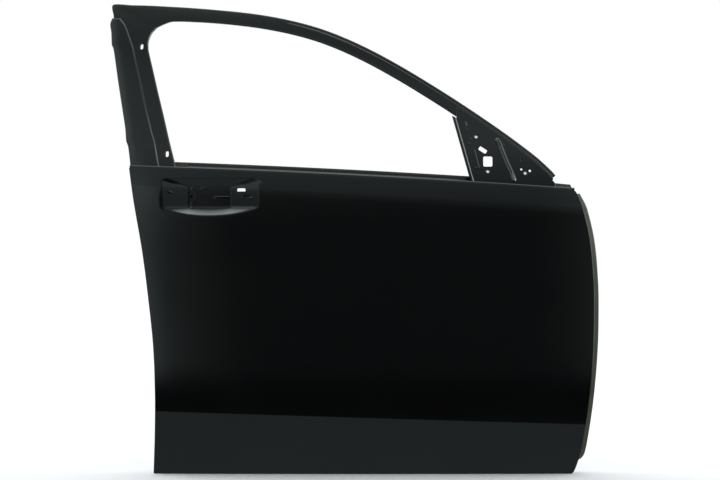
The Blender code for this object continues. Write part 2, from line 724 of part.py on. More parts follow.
def outer_panel():
    """Door skin: barrel surface with crease and handle recess, hemmed edges and a folded belt edge."""
    across = stations(SKIN_COLUMN_CELLS)
    upwards = stations(SKIN_ROW_CELLS)
    columns = len(across) - 1
    rows = len(upwards) - 1
    folds = 2

    def place(column, row):
        side = min(max(column - folds, 0), columns)
        level = min(max(row - folds, 0), rows)
        x, z = skin_place(across[side], upwards[level])
        outside = column < folds or column > columns + folds or row < folds
        if column == 0:
            x += HEM_WIDTH
        if column == columns + 2 * folds:
            x -= HEM_WIDTH
        if row == 0:
            z += HEM_WIDTH
        depth = HEM_HEIGHT if outside else recess_depth(x, z)
        if row > rows + folds:
            depth = BELT_FOLD_DEPTH
        y = skin_y(x, z) + depth
        if row == rows + 2 * folds:
            z -= BELT_FOLD_DROP
        return x, y, z

    def keep(column, row):
        in_side_hem = column < folds or column >= columns + folds
        notch = row < folds + 2 or row >= rows + folds - 1
        return not (in_side_hem and notch)

    mesh = sheet_grid(columns + 2 * folds, rows + 2 * folds, place, keep)
    skin = add_sheet("outer_panel", mesh, (0, -1, 0), SKIN_SHEET)
    holes = [rounded_box(*size) for size in (HANDLE_REAR_HOLE, HANDLE_FRONT_HOLE, HANDLE_SLIT)]
    cut(skin, "handle_holes_cutter", [(hole, "Y", *SKIN_REACH) for hole in holes])


def inner_panel():
    """Deep-drawn inner panel: hem flange, joggled walls, hinge and latch walls, and a face with its holes."""
    paths = [tray_path(ring) for ring in range(len(TRAY_RINGS))]
    last_ring = len(TRAY_RINGS) - 1
    count = len(paths[0])

    def place(column, row):
        x, z = paths[row][column]
        if row == last_ring:
            return x, 0.0, z
        lift = TRAY_RINGS[row]["lift"]
        if lift is None:
            return x, face_y(x, z) - TRAY_CORNER, z
        return x, skin_y(x, z) + lift, z

    mesh = sheet_grid(count - 1, last_ring, place)
    walls = {vert for vert in mesh.verts if vert.co.y != 0.0}
    rim = []
    for x, z in paths[last_ring]:
        flat = (v for v in mesh.verts if v.co.y == 0.0)
        rim.append(min(flat, key=lambda v: (v.co.x - x) ** 2 + (v.co.z - z) ** 2))
    front_x = BELT_FRONT[0] - BELT_END_SETBACK
    rear_x = paths[last_ring][0][0]
    top = []
    for cell in range(BELT_CELLS + 1):
        x = front_x + (rear_x - front_x) * cell / BELT_CELLS
        top.append((x, inner_top_z(x)))
    outline = rim + vert_loop(mesh, top, 0.0)
    loops = [outline]
    loops.append(press(mesh, rounded(SERVICE_CORNERS, SERVICE_RADIUS, 5), 2 * MM, -LIP_DEPTH, False))
    speaker = vert_loop(mesh, circle(*SPEAKER_CENTRE, SPEAKER_SEAT, 20), 0.0)
    seat = vert_loop(mesh, circle(*SPEAKER_CENTRE, SPEAKER_SEAT - 3 * MM, 20), BEAD_DEPTH)
    bore = vert_loop(mesh, circle(*SPEAKER_CENTRE, SPEAKER_RADIUS, 20), BEAD_DEPTH)
    bmesh.ops.bridge_loops(mesh, edges=loop_edges(mesh, speaker) + loop_edges(mesh, seat))
    fill_between(mesh, [seat, bore])
    loops.append(speaker)
    loops.append(press(mesh, rounded_box(*LATCH_ACCESS), 1.5 * MM, -LIP_DEPTH, False))
    for bead in INNER_BEADS:
        loops.append(press(mesh, rounded_box(*bead), 4 * MM, -BEAD_DEPTH, True))
    fill_between(mesh, loops)
    face = {vert for vert in mesh.verts if vert not in walls}
    slope = (BELT_FRONT[1] - BELT_REAR[1]) / (BELT_FRONT[0] - BELT_REAR[0])
    base = BELT_REAR[1] - slope * BELT_REAR[0] - FACE_BEND_DROP + BELT_CROWN / 2
    levels = [base + FACE_BEND_LENGTH * share for share in (0.0, 0.5, 1.0, 2.0)]
    slice_levels(mesh, face, levels, slope)
    bend(face, face_y)
    panel = add_sheet("inner_panel", mesh, (0, 1, 0), INNER_SHEET)
    shapes = [(circle(x, z, CLIP_HOLE_RADIUS, 8), "Y", *DEPTH_REACH) for x, z in CLIP_HOLES]
    shapes.append((circle(*SIGHT_HOLE, 14), "Y", *DEPTH_REACH))
    shapes += [(circle(x, z, NUT_BORE, 8), "Y", *DEPTH_REACH) for x, z in PANEL_NUTS]
    cut(panel, "inner_face_cutter", shapes)
    wall = [(circle(HINGE_Y, z, HINGE_BOLT_RADIUS, 12), "X", *FRONT_REACH) for z in hinge_bolt_levels()]
    wall.append((rounded_box(HINGE_Y, CHECK_STRAP_Z, *CHECK_SLOT), "X", *FRONT_REACH))
    wall.append((circle(HINGE_Y, HARNESS_Z, HARNESS_RADIUS, 18), "X", *FRONT_REACH))
    wall.append((rounded_box(HINGE_Y, LATCH_Z, *LATCH_SLOT), "X", *REAR_REACH))
    cut(panel, "inner_wall_cutter", wall)


def hinge_bolt_levels():
    """Heights of the hinge bolts."""
    half = HINGE_BOLT_SPACING / 2
    return [middle + side * half for middle in (UPPER_HINGE_Z, LOWER_HINGE_Z) for side in (-1, 1)]


def band_sheet(pairs, section, surface, lift=0.0):
    """Sheet lofted along stations (outer x, z, inner x, z) with one section, laid on a surface."""

    def place(column, row):
        outer_x, outer_z, inner_x, inner_z = pairs[column]
        share, offset, depth = section[row]
        outer = Vector((outer_x, outer_z))
        across = Vector((inner_x, inner_z)) - outer
        point = outer + across * share + across.normalized() * offset * MM
        return point.x, surface(point.x, point.y) + depth * MM - lift, point.y

    return sheet_grid(len(pairs) - 1, len(section) - 1, place)


def window_frame():
    """Outer and inner stampings of the window frame, and the channel for the glass run between them."""
    pairs = frame_stations()
    stamping = band_sheet(pairs, OUTER_SECTION, frame_y)
    outer = add_sheet("window_frame_outer", stamping, (0, -1, 0), FRAME_SHEET)
    run = [pair for pair in pairs if pair[2] < FRONT_GUIDE_TOP[0]]
    add_sheet("glass_run_channel", band_sheet(run, RUN_SECTION, frame_y), (-0.2, 0, 1), GUIDE_SHEET)
    inner = add_sheet("window_frame_inner", band_sheet(pairs, INNER_SECTION, frame_y), (0, 1, 0), FRAME_SHEET)
    holes = [rounded_box(x, z, *PILLAR_HOLE_SIZE) for x, z in PILLAR_HOLES]
    for item in (outer, inner):
        cut(item, item.name + "_cutter", [(hole, "Y", *FRAME_REACH) for hole in holes])


def pillar_reinforcement():
    """Raised plate over the rear leg of the frame."""
    pairs = [outer + inner for outer, inner in PILLAR_PAIRS]
    lift = PILLAR_PROUD + FRAME_SHEET
    mesh = band_sheet(refine(pairs), PILLAR_SECTION, frame_y, lift)
    add_sheet("pillar_reinforcement", mesh, (0, -1, 0), FRAME_SHEET)


def mirror_reinforcement():
    """Triangular mirror plate with its holes and the curved bead."""
    mesh = bmesh.new()
    loops = [vert_loop(mesh, MIRROR_OUTLINE, 0.0)]
    for box in (MIRROR_SQUARE, MIRROR_SLOT):
        loops.append(vert_loop(mesh, rounded_box(*box), 0.0))
    for x, z, radius in MIRROR_ROUND_HOLES:
        loops.append(vert_loop(mesh, circle(x, z, radius, 12), 0.0))
    bead = ribbon(refine(MIRROR_BEAD), MIRROR_BEAD_WIDTH)
    loops.append(press(mesh, bead, 3 * MM, -MIRROR_BEAD_HEIGHT, True))
    fill_between(mesh, loops)
    sheet = set(mesh.verts)
    slice_levels(mesh, sheet, [0.720 + 0.025 * step for step in range(8)])
    bend(sheet, lambda x, z: frame_y(x, z) - FRAME_SHEET - CURVED_GAP)
    add_sheet("mirror_reinforcement", mesh, (0, -1, 0), FRAME_SHEET)


def guide_sheet(top, section, slant=0.0, step=0.045):
    """Glass guide: one section swept down along the glass, with an upper end that may be cut at a slant."""
    cells = math.ceil((top[1] - GUIDE_END_Z) / step)

    def place(column, row):
        across, depth = section[row]
        share = column / cells
        z = top[1] + (GUIDE_END_Z - top[1]) * share
        z += slant * (section[-2][0] - across) * MM * (1 - share)
        middle = top[0] + (top[1] - z) * GUIDE_LEAN
        return middle + across * MM, frame_y(middle, z) + depth * MM, z

    return sheet_grid(cells, len(section) - 1, place)


def guide_foot(name, top, web):
    """Foot that carries the lower end of a glass guide on the inner panel."""
    low = GUIDE_END_Z + 2 * MM
    middle_x = top[0] + (top[1] - low) * GUIDE_LEAN + web
    start_y = frame_y(middle_x, low)
    depth = max(point[1] for point in (FRONT_GUIDE_SECTION if web > 0 else REAR_GUIDE_SECTION)) * MM
    guide_y = start_y + depth + WELD_GAP + PLATE_SHEET
    foot_low = low - GUIDE_FOOT_LENGTH
    profile = (
        (guide_y + BELOW_BELT_SLOPE * GUIDE_FOOT_LENGTH, low + GUIDE_FOOT_LENGTH), (guide_y, low),
        (FACE_LOW_Y - FACE_SLOPE * foot_low - INNER_SHEET - WELD_GAP, foot_low),
        (FACE_LOW_Y - FACE_SLOPE * (foot_low - GUIDE_FOOT_LENGTH) - INNER_SHEET - WELD_GAP,
         foot_low - GUIDE_FOOT_LENGTH),
    )
    half = GUIDE_FOOT_WIDTH / 2
    mesh = sheet_grid(1, 3, lambda column, row: (middle_x + (2 * column - 1) * half, *profile[row]))
    add_sheet(name, mesh, (0, 1, 0), PLATE_SHEET)


def glass_guides():
    """Front and rear glass guides and their feet."""
    front = guide_sheet(FRONT_GUIDE_TOP, FRONT_GUIDE_SECTION, GUIDE_TOP_SLANT)
    add_sheet("front_glass_guide", front, (1, 0, 0), GUIDE_SHEET)
    rear = guide_sheet(REAR_GUIDE_TOP, REAR_GUIDE_SECTION)
    add_sheet("rear_glass_guide", rear, (-1, 0, 0), GUIDE_SHEET)
    guide_foot("front_guide_bracket", FRONT_GUIDE_TOP, 5 * MM)
    guide_foot("rear_guide_bracket", REAR_GUIDE_TOP, -9 * MM)


def belt_strip(name, span, section, carrier, towards, facing):
    """Hat-shaped strip along the belt, lying on a carrier surface and standing off it towards one side."""

    def place(column, row):
        x = span[0] + (span[1] - span[0]) * column / BELT_CELLS
        depth, drop = section[row]
        z = belt_z(x) - drop * MM
        return x, carrier(x, z) + towards * depth * MM, z

    add_sheet(name, sheet_grid(BELT_CELLS, len(section) - 1, place), facing, PLATE_SHEET / 2)


def belt_reinforcements():
    """Strips on the skin's side and on the cabin side of the glass slot."""
    half = PLATE_SHEET / 2
    belt_strip(
        "belt_reinforcement_outer", OUTER_BELT_SPAN, OUTER_BELT_SECTION,
        lambda x, z: skin_y(x, z) + SKIN_SHEET + CURVED_GAP + half, 1, (0, 1, 0),
    )
    belt_strip(
        "belt_reinforcement_inner", INNER_BELT_SPAN, INNER_BELT_SECTION,
        lambda x, z: face_y(x, z) - INNER_SHEET - CURVED_GAP - half, -1, (0, -1, 0),
    )


def impact_beam():
    """Impact tube across the door, its two brackets and the mastic pads between tube and skin."""
    run = BEAM_FRONT - BEAM_REAR
    turn = run.to_track_quat("Z", "Y").to_matrix().to_4x4()
    mesh = bmesh.new()
    for radius in (BEAM_RADIUS, BEAM_RADIUS - BEAM_WALL):
        bmesh.ops.create_cone(
            mesh, cap_ends=False, segments=BEAM_SIDES, radius1=radius, radius2=radius, depth=run.length,
        )
    half = run.length / 2
    for end in (-half, half):
        rim = [edge for edge in mesh.edges if all(abs(vert.co.z - end) < MM for vert in edge.verts)]
        bmesh.ops.bridge_loops(mesh, edges=rim)
    bmesh.ops.recalc_face_normals(mesh, faces=mesh.faces[:])
    bmesh.ops.transform(mesh, matrix=turn, verts=mesh.verts[:])
    bmesh.ops.translate(mesh, vec=(BEAM_REAR + BEAM_FRONT) / 2, verts=mesh.verts[:])
    add_object("impact_beam", mesh, BLACK)
    beam_bracket("beam_bracket_front", BEAM_FRONT, -1, lambda y, z: hinge_wall_x(z) - INNER_SHEET - WELD_GAP)
    clear = INNER_SHEET + CURVED_GAP
    beam_bracket("beam_bracket_rear", BEAM_REAR, 1, lambda y, z: latch_wall_x(y, z) + clear)
    for number, share in enumerate(PAD_PLACES, 1):
        middle = BEAM_REAR.lerp(BEAM_FRONT, share)
        low = skin_y(middle.x, middle.z) + SKIN_SHEET + PAD_GAP
        high = middle.y - BEAM_RADIUS - WELD_GAP
        pad = bmesh.new()
        bmesh.ops.create_cube(pad, size=1.0)
        bmesh.ops.scale(pad, vec=(PAD_LENGTH, high - low, PAD_HEIGHT), verts=pad.verts[:])
        bmesh.ops.translate(pad, vec=(middle.x, (low + high) / 2, middle.z), verts=pad.verts[:])
        add_object(f"flutter_pad_{number}", pad, MASTIC)


def beam_bracket(name, end, inwards, wall_x):
    """Bracket that hugs the end of the tube, flattens out and turns along a wall of the inner panel."""
    grip = BEAM_RADIUS + 2 * WELD_GAP
    arc = [math.pi * step / 12 for step in range(13)]
    saddle = [(-math.cos(a) * grip, math.sin(a) * grip) for a in arc]
    saddle = [(-BRACKET_HALF, 0.0)] + saddle + [(BRACKET_HALF, 0.0)]
    slope = (BEAM_FRONT.z - BEAM_REAR.z) / (BEAM_FRONT.x - BEAM_REAR.x)
    turned = len(BRACKET_SADDLE)

    def place(column, row):
        level, bulge = saddle[column]
        if row < turned:
            x = end.x + inwards * BRACKET_SADDLE[row]
            y = end.y + (BRACKET_TAB_Y[0] if row == turned - 1 else bulge)
            return x, y, end.z + level + slope * (x - end.x)
        y = end.y + BRACKET_TAB_Y[row - turned]
        z = end.z + level
        return wall_x(y, z) + inwards * (BRACKET_TAB_BEND if row == turned else 0.0), y, z

    mesh = sheet_grid(len(saddle) - 1, turned + len(BRACKET_TAB_Y) - 1, place)
    add_sheet(name, mesh, (-inwards * 0.2, -1, 0), PLATE_SHEET)


def wall_plate(name, side, middle, half, clearance, thickness, holes):
    """Flat or slightly leaning plate inside the hinge wall (side 1) or the latch wall (side -1)."""
    cells = (2, 4)

    def place(column, row):
        y = middle[0] - half[0] + 2 * half[0] * column / cells[0]
        z = middle[1] - half[1] + 2 * half[1] * row / cells[1]
        wall = hinge_wall_x(z) if side > 0 else latch_wall_x(y, z)
        return wall - side * clearance, y, z

    item = add_sheet(name, sheet_grid(*cells, place), (side, 0, 0), thickness)
    reach = FRONT_REACH if side > 0 else REAR_REACH
    cut(item, name + "_cutter", [(hole, "X", *reach) for hole in holes])


def hardware_plates():
    """Hinge reinforcements with their tapped plates, the check strap plate and the latch reinforcement."""
    behind_wall = INNER_SHEET + WELD_GAP
    for label, middle in (("upper", UPPER_HINGE_Z), ("lower", LOWER_HINGE_Z)):
        levels = [middle - HINGE_BOLT_SPACING / 2, middle + HINGE_BOLT_SPACING / 2]
        bolts = [circle(HINGE_Y, level, HINGE_BOLT_RADIUS, 12) for level in levels]
        wall_plate(
            f"hinge_reinforcement_{label}", 1, (HINGE_Y, middle), HINGE_PLATE_HALF,
            behind_wall, PLATE_SHEET, bolts,
        )
        threads = [circle(HINGE_Y, level, NUT_THREAD_RADIUS, 12) for level in levels]
        wall_plate(
            f"hinge_nut_plate_{label}", 1, (HINGE_Y, middle), NUT_PLATE_HALF,
            behind_wall + PLATE_SHEET + WELD_GAP, NUT_PLATE_THICKNESS, threads,
        )
    slot = [rounded_box(HINGE_Y, CHECK_STRAP_Z, *CHECK_SLOT)]
    wall_plate(
        "check_strap_plate", 1, (HINGE_Y, CHECK_STRAP_Z), CHECK_STRAP_HALF, behind_wall, PLATE_SHEET, slot,
    )
    catch = [rounded_box(HINGE_Y, LATCH_Z, *LATCH_SLOT)]
    wall_plate(
        "latch_reinforcement", -1, (HINGE_Y - 6 * MM, LATCH_Z), LATCH_HALF, INNER_SHEET + CURVED_GAP,
        PLATE_SHEET, catch,
    )


def handle_bracket():
    """Bracket behind the floor of the handle recess, with a lip all round."""
    rear, front, low, high = HANDLE_BRACKET
    columns = [rear, rear] + [rear + (front - rear) * cell / 10 for cell in range(1, 10)] + [front, front]
    levels = [low, low, (low + high) / 2, high, high]

    def place(column, row):
        x = columns[column]
        z = levels[row]
        on_side = column in (0, len(columns) - 1)
        on_end = row in (0, len(levels) - 1)
        y = skin_y(x, z) + RECESS_DEPTH + SKIN_SHEET + CURVED_GAP
        if on_side or on_end:
            y += HANDLE_BRACKET_LIP
        if on_side:
            z = min(max(z, low + HANDLE_LIP_TAPER), high - HANDLE_LIP_TAPER)
        if on_end:
            x = min(max(x, rear + HANDLE_LIP_TAPER), front - HANDLE_LIP_TAPER)
        return x, y, z

    def keep(column, row):
        side = column in (0, len(columns) - 2)
        end = row in (0, len(levels) - 2)
        return not (side and end)

    mesh = sheet_grid(len(columns) - 1, len(levels) - 1, place, keep)
    item = add_sheet("handle_bracket", mesh, (0, -1, 0), PLATE_SHEET)
    holes = [rounded_box(*HANDLE_REAR_HOLE)]
    cut(item, "handle_bracket_cutter", [(hole, "Y", *SKIN_REACH) for hole in holes])


def pull_handle_bracket():
    """Hat-shaped bracket on the cabin face that takes the screws of the pull handle."""
    middle_x, middle_z, length, height = PULL_BRACKET
    half = length / 2
    runs = (
        (-half - PULL_BRACKET_FOOT, 0), (-half, 0), (-half + PULL_BRACKET_RAMP, 1),
        (half - PULL_BRACKET_RAMP, 1), (half, 0), (half + PULL_BRACKET_FOOT, 0),
    )

    def place(column, row):
        along, raised = runs[column]
        z = middle_z + (row - 0.5) * height
        y = FACE_LOW_Y - FACE_SLOPE * z + WELD_GAP + PLATE_SHEET + raised * PULL_BRACKET_HEIGHT
        return middle_x + along, y, z

    item = add_sheet("pull_handle_bracket", sheet_grid(len(runs) - 1, 1, place), (0, 1, 0), PLATE_SHEET)
    holes = [circle(middle_x + side * half / 2, middle_z, PULL_SCREW_RADIUS, 12) for side in (-1, 1)]
    cut(item, "pull_handle_cutter", [(hole, "Y", *DEPTH_REACH) for hole in holes])


def weld_nut(name, seat, axis):
    """Hexagonal weld nut with an open bore, standing on its seat along an axis."""
    mesh = bmesh.new()
    rings = []
    for radius, sides in ((NUT_RADIUS, 6), (NUT_BORE, 12)):
        for level in (0.0, NUT_HEIGHT):
            rings.append([mesh.verts.new((a, b, level)) for a, b in circle(0.0, 0.0, radius, sides)])
    fill_between(mesh, [rings[0], rings[2]])
    fill_between(mesh, [rings[1], rings[3]])
    bmesh.ops.bridge_loops(mesh, edges=loop_edges(mesh, rings[0]) + loop_edges(mesh, rings[1]))
    bmesh.ops.bridge_loops(mesh, edges=loop_edges(mesh, rings[2]) + loop_edges(mesh, rings[3]))
    bmesh.ops.recalc_face_normals(mesh, faces=mesh.faces[:])
    bmesh.ops.transform(mesh, matrix=axis.to_track_quat("Z", "Y").to_matrix().to_4x4(), verts=mesh.verts[:])
    bmesh.ops.translate(mesh, vec=seat, verts=mesh.verts[:])
    add_object(name, mesh, ZINC)


def weld_nuts():
    """Weld nuts behind the mirror plate and behind the inner face."""
    for number, (x, z) in enumerate(MIRROR_NUTS, 1):
        slope_x = (frame_y(x + NUT_RADIUS, z) - frame_y(x - NUT_RADIUS, z)) / (2 * NUT_RADIUS)
        slope_z = (frame_y(x, z + NUT_RADIUS) - frame_y(x, z - NUT_RADIUS)) / (2 * NUT_RADIUS)
        axis = Vector((-slope_x, 1.0, -slope_z)).normalized()
        seat = Vector((x, frame_y(x, z) - CURVED_GAP, z)) + axis * WELD_GAP
        weld_nut(f"mirror_weld_nut_{number}", seat, axis)
    for number, (x, z) in enumerate(PANEL_NUTS, 1):
        axis = Vector((0.0, -1.0, -FACE_SLOPE)).normalized()
        seat = Vector((x, FACE_LOW_Y - FACE_SLOPE * z, z)) + axis * (INNER_SHEET + WELD_GAP)
        weld_nut(f"panel_weld_nut_{number}", seat, axis)


for old in list(bpy.data.objects):
    bpy.data.objects.remove(old, do_unlink=True)
bpy.context.scene.collection.children.link(DOOR)
bpy.context.scene.collection.children.link(CUTTERS)

ORIGIN = bpy.data.objects.new("door_origin", None)
DOOR.objects.link(ORIGIN)
ORIGIN.location = (-HINGE_WALL_X, -HINGE_Y, -UPPER_HINGE_Z)

outer_panel()
inner_panel()
window_frame()
pillar_reinforcement()
mirror_reinforcement()
glass_guides()
belt_reinforcements()
impact_beam()
hardware_plates()
handle_bracket()
pull_handle_bracket()
weld_nuts()
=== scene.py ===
"""Looks of a bare front right car door shell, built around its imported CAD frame.

Every sheet is drawn again from the formulas that shape the CAD solids, on a grid fine enough for black
gloss paint, and the small flat plates keep their solids. Lengths are metres in the layout of the source:
x forward, y from the outside of the door to the cabin, z up from the lower edge of the skin.
"""

import logging
import math
from collections.abc import Callable, Sequence
from dataclasses import dataclass, field
from enum import Enum

import bmesh
import bpy
import numpy as np
from mathutils import Matrix, Vector


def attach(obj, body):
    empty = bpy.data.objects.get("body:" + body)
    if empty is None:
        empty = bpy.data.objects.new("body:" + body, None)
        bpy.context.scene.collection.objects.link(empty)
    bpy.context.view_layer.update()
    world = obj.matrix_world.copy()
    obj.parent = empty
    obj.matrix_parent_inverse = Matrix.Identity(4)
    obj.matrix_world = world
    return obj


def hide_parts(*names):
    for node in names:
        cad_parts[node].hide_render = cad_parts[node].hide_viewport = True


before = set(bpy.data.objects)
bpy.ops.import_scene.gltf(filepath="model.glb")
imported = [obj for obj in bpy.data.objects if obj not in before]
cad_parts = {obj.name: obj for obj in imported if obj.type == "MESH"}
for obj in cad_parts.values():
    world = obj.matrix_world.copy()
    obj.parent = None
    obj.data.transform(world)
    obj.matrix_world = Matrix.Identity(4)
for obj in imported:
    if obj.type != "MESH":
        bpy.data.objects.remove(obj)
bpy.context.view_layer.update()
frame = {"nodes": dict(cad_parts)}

MM = 0.001
MICRON = 0.000001
SEAM_DISTANCE = 0.02 * MM
UPPER_HINGE = Vector((1.166, 0.076, 0.600))

Pair = tuple[float, float]
Curve = tuple[Pair, ...]
Array = np.ndarray

logging.basicConfig(level=logging.INFO, format="%(message)s")
log = logging.getLogger("door_shell")


class Facing(Enum):
    """Side of the door that the named face of a sheet looks to."""

    OUTSIDE = (0.0, -1.0, 0.0)
    CABIN = (0.0, 1.0, 0.0)
    FRONT = (1.0, 0.0, 0.0)
    REAR = (-1.0, 0.0, 0.0)
    UP = (-0.2, 0.0, 1.0)


class Slot(Enum):
    """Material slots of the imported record."""

    COAT = "black_coated_steel"
    ZINC = "zinc_plated_steel"
    MASTIC = "mastic"


def smooth_step(low: float | Array, high: float | Array, value: float | Array) -> Array:
    """Ramp with level ends.

    Args:
        low: Where the ramp leaves 0.
        high: Where the ramp reaches 1.
        value: Places to read it at.

    Returns:
        The ramp's height at each place.
    """
    share = np.clip((value - low) / (high - low), 0.0, 1.0)
    return share * share * (3 - 2 * share)


def curve_value(points: Curve, at: float | Array) -> Array:
    """Smooth curve through points, straight beyond its ends.

    Args:
        points: (place, value) points of the curve, in order.
        at: Places to read it at.

    Returns:
        The curve's value at each place.
    """
    places = np.array([point[0] for point in points])
    values = np.array([point[1] for point in points])
    before = np.maximum(np.arange(len(points)) - 1, 0)
    after = np.minimum(np.arange(len(points)) + 1, len(points) - 1)
    slopes = (values[after] - values[before]) / (places[after] - places[before])
    at = np.asarray(at, dtype=float)
    index = np.clip(np.searchsorted(places, at, side="right") - 1, 0, len(points) - 2)
    span = places[index + 1] - places[index]
    share = (at - places[index]) / span
    rise = values[index + 1] - values[index]
    start = slopes[index] * span
    end = slopes[index + 1] * span
    inside = values[index] + share * (
        start + share * (3 * rise - 2 * start - end + share * (start + end - 2 * rise))
    )
    below = values[0] + slopes[0] * (at - places[0])
    above = values[-1] + slopes[-1] * (at - places[-1])
    return np.where(at < places[0], below, np.where(at > places[-1], above, inside))


def line_value(start: Pair, end: Pair, at: float | Array) -> Array:
    """Straight line through two points.

    Args:
        start: First (place, value) point.
        end: Second (place, value) point.
        at: Places to read it at.

    Returns:
        The line's value at each place.
    """
    return start[1] + (end[1] - start[1]) * (at - start[0]) / (end[0] - start[0])


def spread(*runs: tuple[float, float, int]) -> Array:
    """Stations along a line, in runs of even cells.

    Args:
        runs: (start, end, cells) of each run, where each starts at the end of the one before.

    Returns:
        The stations in order.
    """
    values = [runs[0][0]]
    for start, end, cells in runs:
        values.extend(start + (end - start) * (cell + 1) / cells for cell in range(cells))
    return np.array(values)


def fillet(chain: Array, radii: Sequence[float], cells: int = 4) -> Array:
    """Rounds the inner corners of many chains of points at once.

    Args:
        chain: Array of shape (chains, points, axes).
        radii: How far from each inner corner its rounding starts.
        cells: Cells of each rounding.

    Returns:
        The rounded chains, in an array of shape (chains, more points, axes).
    """
    columns = [chain[:, 0]]
    for index, radius in enumerate(radii, 1):
        corner = chain[:, index]
        back = chain[:, index - 1] - corner
        ahead = chain[:, index + 1] - corner
        back_length = np.linalg.norm(back, axis=1, keepdims=True)
        ahead_length = np.linalg.norm(ahead, axis=1, keepdims=True)
        start = corner + back / back_length * np.minimum(radius, 0.46 * back_length)
        end = corner + ahead / ahead_length * np.minimum(radius, 0.46 * ahead_length)
        for cell in range(cells + 1):
            t = cell / cells
            columns.append((1 - t) ** 2 * start + 2 * t * (1 - t) * corner + t * t * end)
    columns.append(chain[:, -1])
    return np.stack(columns, axis=1)


def refine(points: Array, times: int) -> Array:
    """Smooth points between the points of a line, which stay where they are.

    Args:
        points: Array of shape (points, axes).
        times: How often the number of cells doubles.

    Returns:
        The finer line.
    """
    for _ in range(times):
        padded = np.vstack([points[:1], points, points[-1:]])
        between = (9 * (padded[1:-2] + padded[2:-1]) - padded[:-3] - padded[3:]) / 16
        finer = np.empty((2 * len(points) - 1, points.shape[1]))
        finer[0::2] = points
        finer[1::2] = between
        points = finer
    return points


def rounded(corners: Sequence[Pair], radius: float, cells: int = 6) -> list[Pair]:
    """Closed outline with rounded corners.

    Args:
        corners: Corners in order.
        radius: How far from each corner its rounding starts.
        cells: Cells of each rounding.

    Returns:
        Points of the outline.
    """
    points = []
    count = len(corners)
    for index in range(count):
        corner = Vector(corners[index])
        before = (Vector(corners[index - 1]) - corner).normalized() * radius
        after = (Vector(corners[(index + 1) % count]) - corner).normalized() * radius
        for cell in range(cells + 1):
            t = cell / cells
            point = corner + before * (1 - t) ** 2 + after * t ** 2
            points.append((point.x, point.y))
    return points


def rounded_box(
    x: float, z: float, length: float, height: float, radius: float, angle: float = 0.0,
) -> list[Pair]:
    """Outline of a rounded rectangle.

    Args:
        x: Middle, across.
        z: Middle, up.
        length: Size across.
        height: Size up.
        radius: How far from each corner its rounding starts.
        angle: Turn in degrees.

    Returns:
        Points of the outline.
    """
    turn = math.radians(angle)
    corners = []
    for side, level in ((-1, -1), (1, -1), (1, 1), (-1, 1)):
        along = side * length / 2
        up = level * height / 2
        corners.append((
            x + along * math.cos(turn) - up * math.sin(turn),
            z + along * math.sin(turn) + up * math.cos(turn),
        ))
    return rounded(corners, radius)


def circle(x: float, z: float, radius: float, sides: int = 40) -> list[Pair]:
    """Round outline.

    Args:
        x: Middle, across.
        z: Middle, up.
        radius: Its radius.
        sides: Points around.

    Returns:
        Points of the outline.
    """
    angles = [2 * math.pi * side / sides for side in range(sides)]
    return [(x + radius * math.cos(a), z + radius * math.sin(a)) for a in angles]


def outline_distance(outline: Sequence[Pair], x: Array, z: Array) -> Array:
    """Distance of points from a closed outline, below 0 inside it.

    Args:
        outline: Points of the outline.
        x: Places across.
        z: Places up.

    Returns:
        The signed distances.
    """
    nearest = np.full(x.shape, np.inf)
    inside = np.zeros(x.shape, dtype=bool)
    for index, start in enumerate(outline):
        end = outline[(index + 1) % len(outline)]
        nearest = np.minimum(nearest, segment_distance(start, end, x, z))
        crosses = (start[1] > z) != (end[1] > z)
        rise = end[1] - start[1] if end[1] != start[1] else 1.0
        inside ^= crosses & (x < start[0] + (z - start[1]) * (end[0] - start[0]) / rise)
    return np.where(inside, -nearest, nearest)


def segment_distance(start: Pair, end: Pair, x: Array, z: Array) -> Array:
    """Distance of points from a straight stretch.

    Args:
        start: One end.
        end: The other end.
        x: Places across.
        z: Places up.

    Returns:
        The distances.
    """
    run = (end[0] - start[0], end[1] - start[1])
    length = max(run[0] ** 2 + run[1] ** 2, 1e-12)
    share = np.clip(((x - start[0]) * run[0] + (z - start[1]) * run[1]) / length, 0.0, 1.0)
    return np.hypot(x - start[0] - run[0] * share, z - start[1] - run[1] * share)


def line_distance(line: Sequence[Pair], x: Array, z: Array) -> Array:
    """Distance of points from an open line of straight stretches.

    Args:
        line: Points of the line.
        x: Places across.
        z: Places up.

    Returns:
        The distances.
    """
    stretches = zip(line[:-1], line[1:], strict=True)
    return np.minimum.reduce([segment_distance(start, end, x, z) for start, end in stretches])


